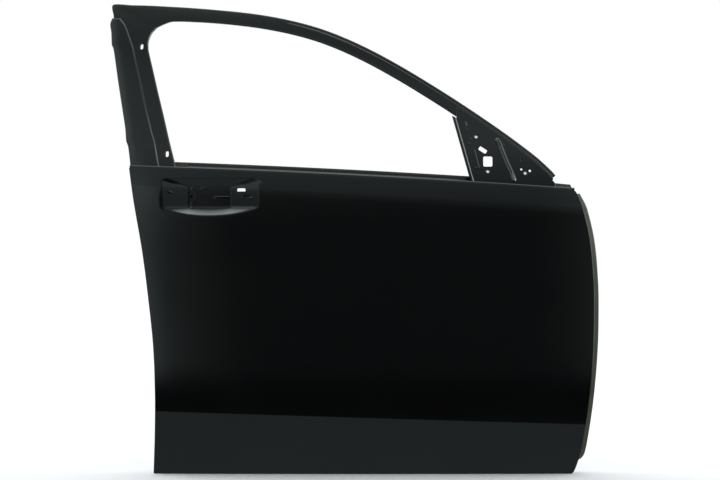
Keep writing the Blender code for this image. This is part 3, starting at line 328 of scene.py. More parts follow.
@dataclass
class Sheet:
    """Open sheet made of mapped grids, which becomes one piece with a thickness and punched holes."""

    name: str
    facing: Facing
    thickness: float
    grids: list[tuple[Array, Array | None]] = field(default_factory=list)

    def add(self, x: Array, y: Array, z: Array, keep: Array | None = None) -> None:
        """Adds a grid.

        Args:
            x: Corner places forward, as rows and columns.
            y: Corner places towards the cabin.
            z: Corner places up.
            keep: Which cells stay, or None for all.
        """
        self.grids.append((np.stack(np.broadcast_arrays(x, y, z), axis=-1), keep))

    def lay(self, grid: Array) -> None:
        """Adds a grid of whole points, with their three axes last."""
        self.grids.append((grid, None))

    def build(self, holes: Sequence["Punch"] = (), blank: "Punch | None" = None) -> bpy.types.Object:
        """Joins the grids, gives them their thickness, trims them and punches the holes.

        Args:
            holes: Holes to punch.
            blank: Outline that the sheet is trimmed to, or None.

        Returns:
            The finished piece.
        """
        verts: list[Array] = []
        faces: list[Array] = []
        start = 0
        for corners, keep in self.grids:
            rows, columns = corners.shape[:2]
            index = np.arange(rows * columns).reshape(rows, columns) + start
            cells = np.stack([index[:-1, :-1], index[:-1, 1:], index[1:, 1:], index[1:, :-1]], axis=-1)
            faces.append(cells.reshape(-1, 4) if keep is None else cells[keep])
            verts.append(corners.reshape(-1, 3))
            start += rows * columns
        shift = np.array(UPPER_HINGE)
        mesh = bpy.data.meshes.new(self.name)
        mesh.from_pydata((np.vstack(verts) - shift).tolist(), [], np.vstack(faces).tolist())
        self.tidy(mesh)
        piece = bpy.data.objects.new(self.name, mesh)
        bpy.context.scene.collection.objects.link(piece)
        shell = piece.modifiers.new("sheet", "SOLIDIFY")
        shell.thickness = self.thickness
        shell.offset = -1
        shell.use_even_offset = True
        shell.use_quality_normals = True
        cut_sheet(piece, "DIFFERENCE", holes)
        if blank:
            cut_sheet(piece, "INTERSECT", [blank])
        return piece

    def tidy(self, data: bpy.types.Mesh) -> None:
        """Joins the seams, turns the faces to the named side and marks the borders as sharp.

        Args:
            data: Mesh to tidy.
        """
        mesh = bmesh.new()
        mesh.from_mesh(data)
        bmesh.ops.remove_doubles(mesh, verts=mesh.verts[:], dist=SEAM_DISTANCE)
        loose = [vert for vert in mesh.verts if not vert.link_faces]
        bmesh.ops.delete(mesh, geom=loose, context="VERTS")
        bmesh.ops.recalc_face_normals(mesh, faces=mesh.faces[:])
        total = sum((face.normal * face.calc_area() for face in mesh.faces), Vector())
        if total.dot(Vector(self.facing.value)) < 0:
            bmesh.ops.reverse_faces(mesh, faces=mesh.faces[:])
        for face in mesh.faces:
            face.smooth = True
        for edge in mesh.edges:
            edge.smooth = not edge.is_boundary
        mesh.to_mesh(data)
        mesh.free()


@dataclass(frozen=True)
class Punch:
    """Straight hole through a sheet."""

    outline: Sequence[Pair]
    axis: str
    start: float
    end: float


def new_piece(name: str, mesh: bmesh.types.BMesh, smooth: bool = False) -> bpy.types.Object:
    """Object made of a finished mesh.

    Args:
        name: Name of the object and its data.
        mesh: Its mesh, which is freed.
        smooth: Whether its faces are shaded smooth.

    Returns:
        The object, linked to the scene.
    """
    for face in mesh.faces:
        face.smooth = smooth
    data = bpy.data.meshes.new(name)
    mesh.to_mesh(data)
    mesh.free()
    piece = bpy.data.objects.new(name, data)
    bpy.context.scene.collection.objects.link(piece)
    return piece


def join_rings(mesh: bmesh.types.BMesh, rings: Sequence[Sequence[bmesh.types.BMVert]]) -> None:
    """Joins closed rings of points, each to the next, by four-sided faces.

    Args:
        mesh: Mesh that takes the faces.
        rings: The rings in order, with as many points each.
    """
    for lower, upper in zip(rings[:-1], rings[1:], strict=True):
        for index in range(len(lower)):
            mesh.faces.new((lower[index - 1], lower[index], upper[index], upper[index - 1]))


def cut_sheet(piece: bpy.types.Object, operation: str, holes: Sequence[Punch]) -> None:
    """Cuts with prisms and keeps the result as the piece's own mesh.

    Args:
        piece: Sheet with its modifiers.
        operation: DIFFERENCE to punch the prisms out, INTERSECT to keep only what is in them.
        holes: Holes to cut; their outlines are (x, z) places for axis Y, (y, z) for X and (x, y) for Z.
    """
    cutter = None
    if holes:
        mesh = bmesh.new()
        for hole in holes:
            add_prism(mesh, hole)
        bmesh.ops.recalc_face_normals(mesh, faces=mesh.faces[:])
        bmesh.ops.translate(mesh, vec=-UPPER_HINGE, verts=mesh.verts[:])
        cutter = new_piece(piece.name + "_cutter", mesh)
        cut = piece.modifiers.new("holes", "BOOLEAN")
        cut.operation = operation
        cut.solver = "EXACT"
        cut.object = cutter
    evaluated = piece.evaluated_get(bpy.context.evaluated_depsgraph_get())
    final = bpy.data.meshes.new_from_object(evaluated)
    piece.modifiers.clear()
    piece.data = final
    final.name = piece.name
    if cutter:
        bpy.data.objects.remove(cutter, do_unlink=True)


def add_prism(mesh: bmesh.types.BMesh, hole: Punch) -> None:
    """Adds the closed prism of a hole to a mesh.

    Args:
        mesh: Mesh that takes it.
        hole: The hole.
    """
    rings = []
    for level in (hole.start, hole.end):
        ring = []
        for a, b in hole.outline:
            places = {"X": (level, a, b), "Y": (a, level, b), "Z": (a, b, level)}
            ring.append(mesh.verts.new(places[hole.axis]))
        rings.append(ring)
    for ring in rings:
        edges = [mesh.edges.new((ring[i - 1], ring[i])) for i in range(len(ring))]
        bmesh.ops.triangle_fill(mesh, edges=edges, use_beauty=True, use_dissolve=False)
    join_rings(mesh, rings)


def settle(
    piece: bpy.types.Object, finish: bpy.types.Material, slot: Slot, *nodes: str,
) -> bpy.types.Object:
    """Dresses a piece and ties it to the frame.

    Args:
        piece: The piece.
        finish: Its material.
        slot: Record's slot that the finish belongs to; not used.
        nodes: CAD nodes that it stands for.

    Returns:
        The same piece.
    """
    piece.data.materials.clear()
    piece.data.materials.append(finish)
    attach(piece, "root")
    if nodes:
        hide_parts(*nodes)
    log.info("%s: %d faces", piece.name, len(piece.data.polygons))
    return piece


@dataclass(frozen=True)
class BodySide:
    """Curved body side and cabin side that every sheet of the door is measured from."""

    widest_z: float = 0.340
    side_radius: float = 2.600
    plan_centre_x: float = 0.600
    plan_radius: float = 12.000
    shoulder_drop: float = 0.066
    shoulder_slope: float = 0.13
    shoulder_blend: float = 0.020
    tuck_slope: float = 0.16
    crease_rear: Pair = (0.108, 0.1555)
    crease_front: Pair = (1.169, 0.1225)
    rear_edge: Curve = (
        (0.000, 0.1037), (0.108, 0.1079), (0.197, 0.1089), (0.315, 0.1047), (0.432, 0.0925),
        (0.550, 0.0767), (0.668, 0.0554), (0.759, 0.0414),
    )
    front_edge: Curve = (
        (0.000, 1.1340), (0.006, 1.1400), (0.038, 1.1515), (0.080, 1.1608), (0.183, 1.1756),
        (0.306, 1.1859), (0.404, 1.1883), (0.476, 1.1871), (0.575, 1.1785), (0.657, 1.1601),
        (0.689, 1.1478), (0.705, 1.1373),
    )
    belt_rear: Pair = (0.041, 0.7610)
    belt_front: Pair = (1.137, 0.7048)
    belt_crown: float = 5.0 * MM
    belt_step: float = 12.6 * MM
    belt_step_front: float = 8.5 * MM
    belt_step_taper_x: float = 1.000
    skin_sheet: float = 0.8 * MM
    inner_sheet: float = 0.8 * MM
    frame_sheet: float = 1.0 * MM
    curved_gap: float = 0.6 * MM
    frame_setback: float = 17.0 * MM
    frame_slope: float = 0.27
    frame_bow: float = 0.30
    below_belt_slope: float = 0.12
    frame_depth: float = 38.0 * MM
    face_low_y: float = 0.128
    face_slope: float = 0.047
    face_bend_drop: float = 0.034
    face_bend_length: float = 0.014
    hinge_wall: float = 1.166
    hinge_wall_clear: float = 5.5 * MM

    def crease_z(self, x: Array) -> Array:
        """Height of the lower crease at places along the door."""
        return line_value(self.crease_rear, self.crease_front, x)

    def belt_z(self, x: Array) -> Array:
        """Height of the skin's top edge at places along the door."""
        share = (x - self.belt_rear[0]) / (self.belt_front[0] - self.belt_rear[0])
        return line_value(self.belt_rear, self.belt_front, x) + 4 * self.belt_crown * share * (1 - share)

    def inner_top_z(self, x: Array) -> Array:
        """Height of the inner panel's top edge at places along the door."""
        taper = smooth_step(self.belt_step_taper_x, self.belt_front[0], x)
        return self.belt_z(x) + self.belt_step + (self.belt_step_front - self.belt_step) * taper

    def plan_sweep(self, x: Array) -> Array:
        """How far the door falls back from its widest station, seen from above."""
        return (x - self.plan_centre_x) ** 2 / (2 * self.plan_radius)

    def profile(self, z: Array, belt: Array, crease: Array) -> Array:
        """Depth of the body side.

        Args:
            z: Heights to read it at.
            belt: Height of the belt line there.
            crease: Height of the crease there.

        Returns:
            The depth at each height.
        """
        level = np.maximum(z, crease)
        depth = (level - self.widest_z) ** 2 / (2 * self.side_radius)
        above = np.maximum(level - (belt - self.shoulder_drop), 0.0)
        blended = np.minimum(above, self.shoulder_blend)
        depth = depth + self.shoulder_slope * (above - blended + blended ** 2 / (2 * self.shoulder_blend))
        return depth + self.tuck_slope * np.maximum(crease - z, 0.0)

    def skin_y(self, x: Array, z: Array) -> Array:
        """Outer face of the skin, without the handle recess."""
        return self.profile(z, self.belt_z(x), self.crease_z(x)) + self.plan_sweep(x)

    def frame_y(self, x: Array, z: Array) -> Array:
        """Outer face of the window frame, which follows the glass."""
        middle = (self.belt_rear[1] + self.belt_front[1]) / 2
        base = self.profile(np.float64(middle), middle, 0.0) + self.frame_setback + self.plan_sweep(x)
        rise = z - middle
        limit = self.belt_z(x) - middle - self.face_bend_drop
        bent = self.frame_slope * limit + self.frame_bow * limit * limit
        low = base + bent + self.below_belt_slope * (rise - limit)
        return np.where(rise < limit, low, base + self.frame_slope * rise + self.frame_bow * rise * rise)

    def face_y(self, x: Array, z: Array) -> Array:
        """Cabin face of the inner panel, which bends at the belt to lie along the window frame."""
        plane = self.face_low_y - self.face_slope * z
        strip = self.frame_y(x, z) + self.frame_depth + self.curved_gap + self.inner_sheet
        bend = self.belt_z(x) - self.face_bend_drop
        return plane + (strip - plane) * smooth_step(bend, bend + self.face_bend_length, z)

    def rear_x(self, z: Array) -> Array:
        """Rear edge of the skin at heights."""
        return curve_value(self.rear_edge, z)

    def front_x(self, z: Array) -> Array:
        """Front edge of the skin at heights."""
        return curve_value(self.front_edge, z)

    def hinge_wall_x(self, z: Array) -> Array:
        """Outer face of the hinge wall at heights."""
        return np.minimum(self.hinge_wall, self.front_x(z) + self.hinge_wall_clear)


def band_axes(stations: Array) -> tuple[Array, Array, Array]:
    """Outer edge of a band and the way across it.

    Args:
        stations: Stations as outer x and z, inner x and z.

    Returns:
        Outer places, the steps from them to the inner places, and the unit vectors of those.
    """
    outer = stations[:, :2]
    across = stations[:, 2:] - outer
    return outer, across, across / np.linalg.norm(across, axis=1, keepdims=True)


def fold(start: Array, corners: Sequence[Array], radii: Sequence[float]) -> Array:
    """Sheet edge folded around rounded corners.

    Args:
        start: Points where the fold leaves the sheet, of shape (points, 3).
        corners: Corner points of the fold in order, each of the same shape.
        radii: Rounding of each inner corner.

    Returns:
        Grid of the fold, of shape (points, points across, 3).
    """
    return fillet(np.stack([start, *corners], axis=1), radii, 5)


@dataclass
class DoorSkin:
    """Door skin: stamped sheet with a sharp crease and a handle recess, hemmed and folded at its edges."""

    side: BodySide
    columns: tuple[tuple[float, float, int], ...] = (
        (0.0, 0.064, 14), (0.064, 0.290, 112), (0.290, 0.900, 48), (0.900, 1.0, 16),
    )
    rows: tuple[tuple[float, float, int], ...] = (
        (0.0, 0.0155, 3), (0.0155, 0.1985, 14), (0.1985, 0.2, 1), (0.2, 0.2015, 1), (0.2015, 0.800, 30),
        (0.800, 0.915, 44), (0.915, 0.992, 96), (0.992, 1.0, 2),
    )
    crease_row: float = 0.2
    hem_margin: float = 1.6 * MM
    hem_width: float = 9.0 * MM
    hem_height: float = 3.2 * MM
    hem_radius: float = 1.45 * MM
    belt_margin: float = 7.5 * MM
    belt_radius: float = 3.4 * MM
    belt_depth: float = 7.0 * MM
    belt_drop: float = 14.0 * MM
    recess_rear_x: float = 0.124
    recess_front_x: float = 0.362
    recess_top_z: float = 0.728
    recess_top_ramp: float = 0.020
    recess_floor_low_z: float = 0.659
    recess_low_z: float = 0.6355
    recess_low_rise: float = 13.5 * MM
    recess_low_middle_x: float = 0.240
    recess_low_half: float = 0.100
    recess_end_ramp: float = 66.0 * MM
    recess_blend: float = 4.0 * MM
    recess_deepest: float = 12.0 * MM
    recess_lip_power: float = 1.5
    rear_hole: tuple[float, ...] = (0.197, 0.683, 0.0060, 0.0060, 0.0025)
    front_hole: tuple[float, ...] = (0.3205, 0.6985, 0.020, 0.009, 0.003)
    slit: tuple[float, ...] = (0.334, 0.6835, 0.020, 0.004, 0.0015)
    punch_span: Pair = (-0.050, 0.100)
    ribs: tuple[tuple[Pair, Pair, float, float], ...] = (
        ((0.257, 0.6815), (0.290, 0.6815), 1.0, 3.0), ((0.199, 0.655), (0.199, 0.665), 0.9, 2.6),
        ((0.141, 0.695), (0.152, 0.6915), 0.5, 3.0), ((0.3225, 0.680), (0.331, 0.6835), 0.6, 2.4),
        ((0.334, 0.6805), (0.347, 0.6800), 1.2, 2.6),
    )
    dots: tuple[Pair, ...] = ((0.232, 0.704), (0.200, 0.7035), (0.226, 0.7035))
    dot_radius: float = 3.6 * MM
    dot_height: float = 0.5 * MM
    screw_ring: float = 12.5 * MM
    screw_ring_width: float = 2.5 * MM
    screw_ring_height: float = 0.06 * MM

    def floor_marks(self, x: Array, z: Array) -> Array:
        """How far the ribs, the dots and the ring around the screw hole stand out of the recess floor."""
        raised = np.zeros(x.shape)
        for start, end, height, width in self.ribs:
            away = segment_distance(start, end, x, z)
            raised += height * MM * (1 - smooth_step(0.3 * MM, width * MM, away))
        for place in self.dots:
            away = np.hypot(x - place[0], z - place[1])
            raised += self.dot_height * (1 - smooth_step(0.0, self.dot_radius, away))
        away = np.abs(np.hypot(x - self.rear_hole[0], z - self.rear_hole[1]) - self.screw_ring)
        return raised + self.screw_ring_height * (1 - smooth_step(0.0, self.screw_ring_width, away))

    def recess_depth(self, x: Array, z: Array) -> Array:
        """Depth of the handle recess: straight flanks above and at its ends, a curved lip below."""
        deepest = self.recess_deepest
        ends = np.minimum(x - self.recess_rear_x, self.recess_front_x - x)
        ends = deepest * np.clip(ends / self.recess_end_ramp, 0.0, 1.0)
        top = (self.recess_top_z - z) * deepest / self.recess_top_ramp
        reach = self.recess_blend * (1.02 - smooth_step(0.4, 0.9, ends / deepest))
        blend = np.maximum(reach - np.abs(ends - top), 0.0)
        flank = np.clip(np.minimum(ends, top) - blend ** 2 / (4 * reach), 0.0, deepest)
        share = (x - self.recess_low_middle_x) / self.recess_low_half
        low = self.recess_low_z + self.recess_low_rise * share ** 2
        low = np.minimum(low, self.recess_floor_low_z - 3 * MM)
        share = np.clip((z - low) / (self.recess_floor_low_z - low), 0.0, 1.0)
        return flank * (1 - (1 - share) ** self.recess_lip_power)

    def place(self) -> tuple[Array, Array]:
        """Places of the skin's grid, without its folds.

        Returns:
            Places along the door and heights, as rows and columns.
        """
        u, v = np.meshgrid(spread(*self.columns), spread(*self.rows))
        x = np.full(u.shape, self.side.plan_centre_x)
        z = np.zeros(u.shape)
        for _ in range(8):
            crease = self.side.crease_z(x)
            low = self.hem_margin + (crease - self.hem_margin) * v / self.crease_row
            top = self.side.belt_z(x) - self.belt_margin
            high = crease + (top - crease) * (v - self.crease_row) / (1 - self.crease_row)
            z = np.where(v <= self.crease_row, low, high)
            rear = self.side.rear_x(z) + self.hem_margin
            x = rear + (self.side.front_x(z) - self.hem_margin - rear) * u
        return x, z

    def surface(self, x: Array, z: Array, lift: float = 0.0) -> Array:
        """Points on the skin.

        Args:
            x: Places along the door.
            z: Heights.
            lift: How far inside the outer face they lie.

        Returns:
            The points, with their three axes last.
        """
        return np.stack(np.broadcast_arrays(x, self.side.skin_y(x, z) + lift, z), axis=-1)

    def build(self) -> bpy.types.Object:
        """Makes the skin with its hems, its folded belt edge and its handle holes."""
        x, z = self.place()
        sheet = Sheet("door_skin", Facing.OUTSIDE, self.side.skin_sheet)
        sheet.add(x, self.side.skin_y(x, z) + self.recess_depth(x, z) - self.floor_marks(x, z), z)
        for column, edge, inwards in ((0, self.side.rear_x, 1.0), (-1, self.side.front_x, -1.0)):
            level = z[:, column]
            rim = edge(level)
            corners = [
                self.surface(rim, level), self.surface(rim, level, self.hem_height),
                self.surface(rim + inwards * self.hem_width, level, self.hem_height),
            ]
            sheet.lay(fold(self.surface(x[:, column], level), corners, [self.hem_radius] * 2))
        along = x[0]
        lowest = np.zeros(along.shape)
        corners = [
            self.surface(along, lowest), self.surface(along, lowest, self.hem_height),
            self.surface(along, lowest + self.hem_width, self.hem_height),
        ]
        sheet.lay(fold(self.surface(along, z[0]), corners, [self.hem_radius] * 2))
        along = x[-1]
        rim = self.surface(along, self.side.belt_z(along))
        behind = rim + (0.0, self.belt_depth, 0.0)
        corners = [rim, behind, rim + (0.0, self.belt_depth, -self.belt_drop)]
        sheet.lay(fold(self.surface(along, z[-1]), corners, [self.belt_radius] * 2))
        holes = [
            Punch(rounded_box(*size), "Y", *self.punch_span)
            for size in (self.rear_hole, self.front_hole, self.slit)
        ]
        return sheet.build(holes)


@dataclass
class WindowFrame:
    """Window frame: outer and inner stampings from the rear leg over the header, and the glass run."""

    side: BodySide
    header_width: float = 36.0 * MM
    leg: tuple[tuple[Pair, Pair], ...] = (
        ((0.048, 0.745), (0.160, 0.745)),
        ((0.0440, 0.777), (0.1517, 0.777)),
        ((0.0365, 0.822), (0.1396, 0.822)),
        ((0.0255, 0.883), (0.1246, 0.883)),
        ((0.0145, 0.943), (0.1088, 0.943)),
        ((0.0035, 1.005), (0.0932, 1.005)),
        ((-0.0045, 1.051), (0.0812, 1.051)),
        ((-0.0090, 1.085), (0.0796, 1.067)),
        ((-0.0110, 1.115), (0.0816, 1.082)),
        ((-0.0125, 1.145), (0.0883, 1.098)),
        ((-0.0146, 1.1723), (0.0955, 1.1065)),
        ((0.030, 1.1716), (0.1029, 1.1136)),
        ((0.080, 1.1700), (0.1297, 1.1257)),
        ((0.130, 1.1675), (0.1450, 1.1275)),
        ((0.175, 1.1648), (0.1760, 1.1270)),
    )
    straight: int = 6
    header: Curve = (
        (0.250, 1.1585), (0.341, 1.1485), (0.432, 1.1319), (0.523, 1.1060), (0.614, 1.0672),
        (0.704, 1.0186), (0.793, 0.9640), (0.882, 0.9056), (0.971, 0.8433), (1.0295, 0.7990),
        (1.0587, 0.7750), (1.0878, 0.7469), (1.0970, 0.7357),
    )
    outer_section: tuple[tuple[float, ...], ...] = (
        (0, 3.5, 0.0, 5.0), (0, 9.0, 0.0, 5.0), (0, 9.5, 0.0, 0.25), (0, 12.0, 0.0, 0.0),
        (1, -5.5, 0.0, 0.0), (1, -1.2, 1.0, 0.0), (1, 0.0, 3.0, 0.0), (1, 0.0, 7.0, 0.0),
    )
    run_section: tuple[tuple[float, ...], ...] = (
        (1, -1.5, 7.4, 0.0), (1, -16.0, 7.4, 0.0), (1, -16.0, 24.0, 0.0), (1, -1.5, 24.0, 0.0),
    )
    inner_section: tuple[tuple[float, ...], ...] = (
        (0, 1.3, 2.4, 5.0), (0, 11.0, 2.4, 5.0), (0, 13.0, 12.0, 0.0), (0, 15.0, 36.0, 0.0),
        (0, 18.0, 38.0, 0.0), (1, -5.0, 38.0, 0.0), (1, -1.5, 35.0, 0.0), (1, -1.5, 25.4, 0.0),
    )
    outer_radii: tuple[float, ...] = (0.8, 0.7, 1.6, 3.0, 1.2, 1.0)
    run_radii: Pair = (1.5, 1.5)
    inner_radii: tuple[float, ...] = (2.0, 2.0, 3.0, 3.0, 4.0, 2.0)
    set_back_leg_z: Pair = (1.085, 1.125)
    set_back_header_x: Pair = (0.420, 0.580)
    run_end_x: float = 0.8431
    leg_holes: tuple[Pair, ...] = ((0.0627, 1.0628), (0.1339, 0.7890))
    leg_hole_size: tuple[float, float, float] = (0.0095, 0.0150, 0.0045)
    punch_span: Pair = (0.0, 0.300)

    def stations(self) -> Array:
        """Stations of the frame as outer x and z, inner x and z, close enough for gloss paint."""
        listed = [outer + inner for outer, inner in self.leg]
        last = len(self.header) - 1
        for index, (x, z) in enumerate(self.header):
            before = self.header[max(index - 1, 0)]
            after = self.header[min(index + 1, last)]
            run = Vector((after[0] - before[0], after[1] - before[1])).normalized()
            listed.append((x, z, x + run.y * self.header_width, z - run.x * self.header_width))
        points = np.array(listed)
        bent = refine(points[self.straight:], 4)
        share = np.linspace(0.0, 1.0, 12, endpoint=False)[:, None]
        pairs = zip(points[:self.straight], points[1:self.straight + 1], strict=True)
        return np.vstack([*[start + (end - start) * share for start, end in pairs], bent])

    def set_back(self, stations: Array) -> Array:
        """Share of its full depth that the outer flange is set back by: none at the upper rear corner."""
        leg = 1 - smooth_step(*self.set_back_leg_z, stations[:, 1])
        return np.maximum(leg, smooth_step(*self.set_back_header_x, stations[:, 0]))

    def band(
        self, stations: Array, section: Sequence[tuple[float, ...]], radii: Sequence[float],
        lift: float = 0.0,
    ) -> Array:
        """Sheet lofted along the stations with one section, laid on the frame's outer face.

        Args:
            stations: Stations as outer x and z, inner x and z.
            section: (side, offset from it, depth, further depth where the flange is set back) of each
                corner, in millimetres.
            radii: Rounding of each inner corner.
            lift: How far the sheet stands in front of the frame's outer face.

        Returns:
            Grid of the sheet.
        """
        outer, across, unit = band_axes(stations)
        back = self.set_back(stations)
        corners = []
        for share, offset, depth, further in section:
            place = outer + across * share + unit * offset * MM
            y = self.side.frame_y(place[:, 0], place[:, 1]) + (depth + further * back) * MM - lift
            corners.append(np.stack([place[:, 0], y, place[:, 1]], axis=1))
        return fillet(np.stack(corners, axis=1), radii, 4)

    def loft(
        self, name: str, facing: Facing, stations: Array,
        section: Sequence[tuple[float, ...]], radii: Sequence[float],
    ) -> Sheet:
        """Sheet of one section along the stations.

        Args:
            name: Name of the piece.
            facing: Side that its face looks to.
            stations: Stations to loft along.
            section: Corners of the section.
            radii: Rounding of each inner corner, in millimetres.

        Returns:
            The sheet, not yet built.
        """
        sheet = Sheet(name, facing, self.side.frame_sheet)
        sheet.lay(self.band(stations, section, [radius * MM for radius in radii]))
        return sheet

    def build(self) -> dict[str, bpy.types.Object]:
        """Makes the two stampings and the glass run, by name of the CAD node."""
        stations = self.stations()
        run = stations[stations[:, 2] < self.run_end_x]
        outer = self.loft(
            "frame_outer_stamping", Facing.OUTSIDE, stations, self.outer_section, self.outer_radii,
        )
        inner = self.loft(
            "frame_inner_stamping", Facing.CABIN, stations, self.inner_section, self.inner_radii,
        )
        channel = self.loft("glass_run", Facing.UP, run, self.run_section, self.run_radii)
        holes = [
            Punch(rounded_box(x, z, *self.leg_hole_size), "Y", *self.punch_span)
            for x, z in self.leg_holes
        ]
        return {
            "window_frame_outer": outer.build(holes),
            "window_frame_inner": inner.build(holes),
            "glass_run_channel": channel.build(holes),
        }


@dataclass
class PillarPlate:
    """Raised plate welded on the rear leg of the frame, with a soft step along the middle of its length."""

    frame: WindowFrame
    proud: float = 3.0 * MM
    edges: tuple[tuple[Pair, Pair], ...] = (
        ((0.0450, 0.750), (0.1190, 0.750)),
        ((0.0423, 0.7735), (0.1127, 0.7722)),
        ((0.0372, 0.8072), (0.1052, 0.8127)),
        ((0.0319, 0.8222), (0.1015, 0.8270)),
        ((0.0288, 0.8523), (0.0949, 0.8481)),
        ((0.0208, 0.8977), (0.0843, 0.8919)),
        ((0.0068, 0.9740), (0.0655, 0.9740)),
        ((-0.0066, 1.0511), (0.0450, 1.0520)),
        ((-0.0123, 1.0667), (0.0405, 1.0660)),
        ((-0.0149, 1.0979), (0.0290, 1.0979)),
        ((-0.0186, 1.1201), (0.0206, 1.1190)),
        ((-0.0150, 1.1338), (0.0093, 1.1338)),
    )
    soft_levels: tuple[float, float, float, float] = (0.850, 0.930, 1.010, 1.070)
    sharp_step: float = 3.0
    soft_step: float = 8.0
    side_width: float = 14.0
    side_share: float = 0.4
    edge_steps: Pair = (0.4, 2.5)
    depths: tuple[float, ...] = (3.4, 1.1, 0.55, 0.0, 0.0, 2.2)
    radii: tuple[float, ...] = (0.2, 1.0, 9.0, 2.6)
    top_fold: tuple[Pair, ...] = ((0.0, 0.0), (1.2, 0.6), (2.4, 2.4))

    def build(self) -> bpy.types.Object:
        """Makes the plate."""
        stations = refine(np.array([outer + inner for outer, inner in self.edges]), 4)
        outer, across, unit = band_axes(stations)
        level = stations[:, 3]
        low, low_full, high_full, high = self.soft_levels
        softness = smooth_step(low, low_full, level) * (1 - smooth_step(high_full, high, level))
        step = (self.sharp_step + (self.soft_step - self.sharp_step) * softness)[:, None] * MM
        width = np.linalg.norm(across, axis=1, keepdims=True)
        side_width = np.minimum(self.side_width * MM, self.side_share * width)
        edge, rim = self.edge_steps
        places = [
            outer, outer + unit * edge * MM, outer + unit * rim * MM, outer + unit * side_width,
            stations[:, 2:] - unit * step, stations[:, 2:],
        ]
        side = self.frame.side
        lift = self.proud + side.frame_sheet
        corners = []
        for place, depth in zip(places, self.depths, strict=True):
            x, z = place[:, 0], place[:, 1]
            corners.append(np.stack([x, side.frame_y(x, z) + depth * MM - lift, z], axis=1))
        grid = fillet(np.stack(corners, axis=1), [radius * MM for radius in self.radii], 5)
        sheet = Sheet("pillar_plate", Facing.OUTSIDE, side.frame_sheet)
        sheet.lay(grid)
        rim = np.stack([grid[-1] + (0.0, back * MM, rise * MM) for rise, back in self.top_fold])
        sheet.lay(rim)
        return sheet.build()


@dataclass
class MirrorCorner:
    """Triangular plate in the front corner of the window that carries the mirror."""

    side: BodySide
    cell: float = 1.1 * MM
    outline: tuple[Pair, ...] = (
        (0.8535, 0.9080), (0.875, 0.8945), (0.963, 0.8330), (1.0215, 0.7890), (1.0497, 0.7655),
        (1.0790, 0.7380), (1.0905, 0.7270), (1.0882, 0.7235), (1.0949, 0.7157), (1.0949, 0.6960),
        (0.9020, 0.7050), (0.8965, 0.7100), (0.8905, 0.7337), (0.8520, 0.8770),
    )
    square_hole: tuple[float, ...] = (0.9286, 0.7698, 0.0225, 0.0250, 0.0040, 0.0)
    slot: tuple[float, ...] = (0.9164, 0.7985, 0.0210, 0.0100, 0.0030, -33.0)
    round_holes: tuple[tuple[float, float, float], ...] = (
        (0.9005, 0.8320, 0.0046), (0.9283, 0.7454, 0.0048), (1.0208, 0.7414, 0.0048),
        (1.0322, 0.7466, 0.0028), (1.0129, 0.7727, 0.0030), (1.0111, 0.7501, 0.0024),
    )
    bead: tuple[Pair, ...] = (
        (0.9530, 0.8230), (0.9588, 0.8110), (0.9638, 0.7960), (0.9758, 0.7645), (0.9868, 0.7400),
        (0.9920, 0.7250),
    )
    bead_width: float = 12.0 * MM
    bead_height: float = 0.6 * MM
    bead_ramp: float = 0.9 * MM
    # Two ridges, one at each side of the bead's middle line, draw its two light lines
    bead_rim: float = 2.6 * MM
    bead_rim_height: float = 1.8 * MM
    bead_rim_width: float = 2.4 * MM
    streaks: tuple[tuple[Pair, Pair, float], ...] = (
        ((0.9890, 0.7400), (0.9935, 0.7260), 1.2), ((0.8953, 0.7985), (0.9060, 0.7545), 1.0),
        ((0.8752, 0.8680), (0.8765, 0.8600), 1.3), ((0.8720, 0.8560), (0.8790, 0.8480), 0.6),
    )
    streak_radius: float = 2.2 * MM
    dimples: tuple[Pair, ...] = ((0.9686, 0.8102), (0.8863, 0.8262), (0.8823, 0.8154), (0.8988, 0.7546))
    dimple_radius: float = 3.2 * MM
    dimple_height: float = 1.1 * MM
    corner: float = 1.2 * MM
    punch_span: Pair = (-0.1, 0.2)

    def relief(self, x: Array, z: Array) -> Array:
        """How far the stamping's bead, streaks and dimples stand out of the plate."""
        line = [tuple(point) for point in refine(np.array(self.bead), 3)]
        away = line_distance(line, x, z)
        raised = self.bead_height * np.clip((self.bead_width / 2 - away) / self.bead_ramp, 0.0, 1.0)
        rim = 1 - np.abs(away - self.bead_rim) / self.bead_rim_width
        raised = raised + self.bead_rim_height * np.maximum(rim, 0.0)
        for start, end, height in self.streaks:
            away = segment_distance(start, end, x, z)
            raised = raised + height * MM * (1 - smooth_step(0.0, self.streak_radius, away))
        for place in self.dimples:
            away = np.hypot(x - place[0], z - place[1])
            raised = raised + self.dimple_height * (1 - smooth_step(0.0, self.dimple_radius, away))
        return raised

    def build(self) -> bpy.types.Object:
        """Makes the plate with its bead and its holes."""
        places = np.array(self.outline)
        low = places.min(axis=0) - 2 * self.cell
        high = places.max(axis=0) + 2 * self.cell
        across = np.arange(low[0], high[0], self.cell)
        upwards = np.arange(low[1], high[1], self.cell)
        x, z = np.meshgrid(across, upwards)
        away = outline_distance(self.outline, x, z)
        near = away < 2.5 * self.cell
        keep = near[:-1, :-1] & near[1:, :-1] & near[:-1, 1:] & near[1:, 1:]
        lift = self.side.frame_sheet + self.side.curved_gap
        sheet = Sheet("mirror_plate", Facing.OUTSIDE, self.side.frame_sheet)
        sheet.add(x, self.side.frame_y(x, z) - lift - self.relief(x, z), z, keep)
        outlines = [rounded_box(*size) for size in (self.square_hole, self.slot)]
        outlines += [circle(*hole) for hole in self.round_holes]
        outlines.append(rounded(self.outline, self.corner, 3))
        *holes, blank = [Punch(outline, "Y", *self.punch_span) for outline in outlines]
        return sheet.build(holes, blank)


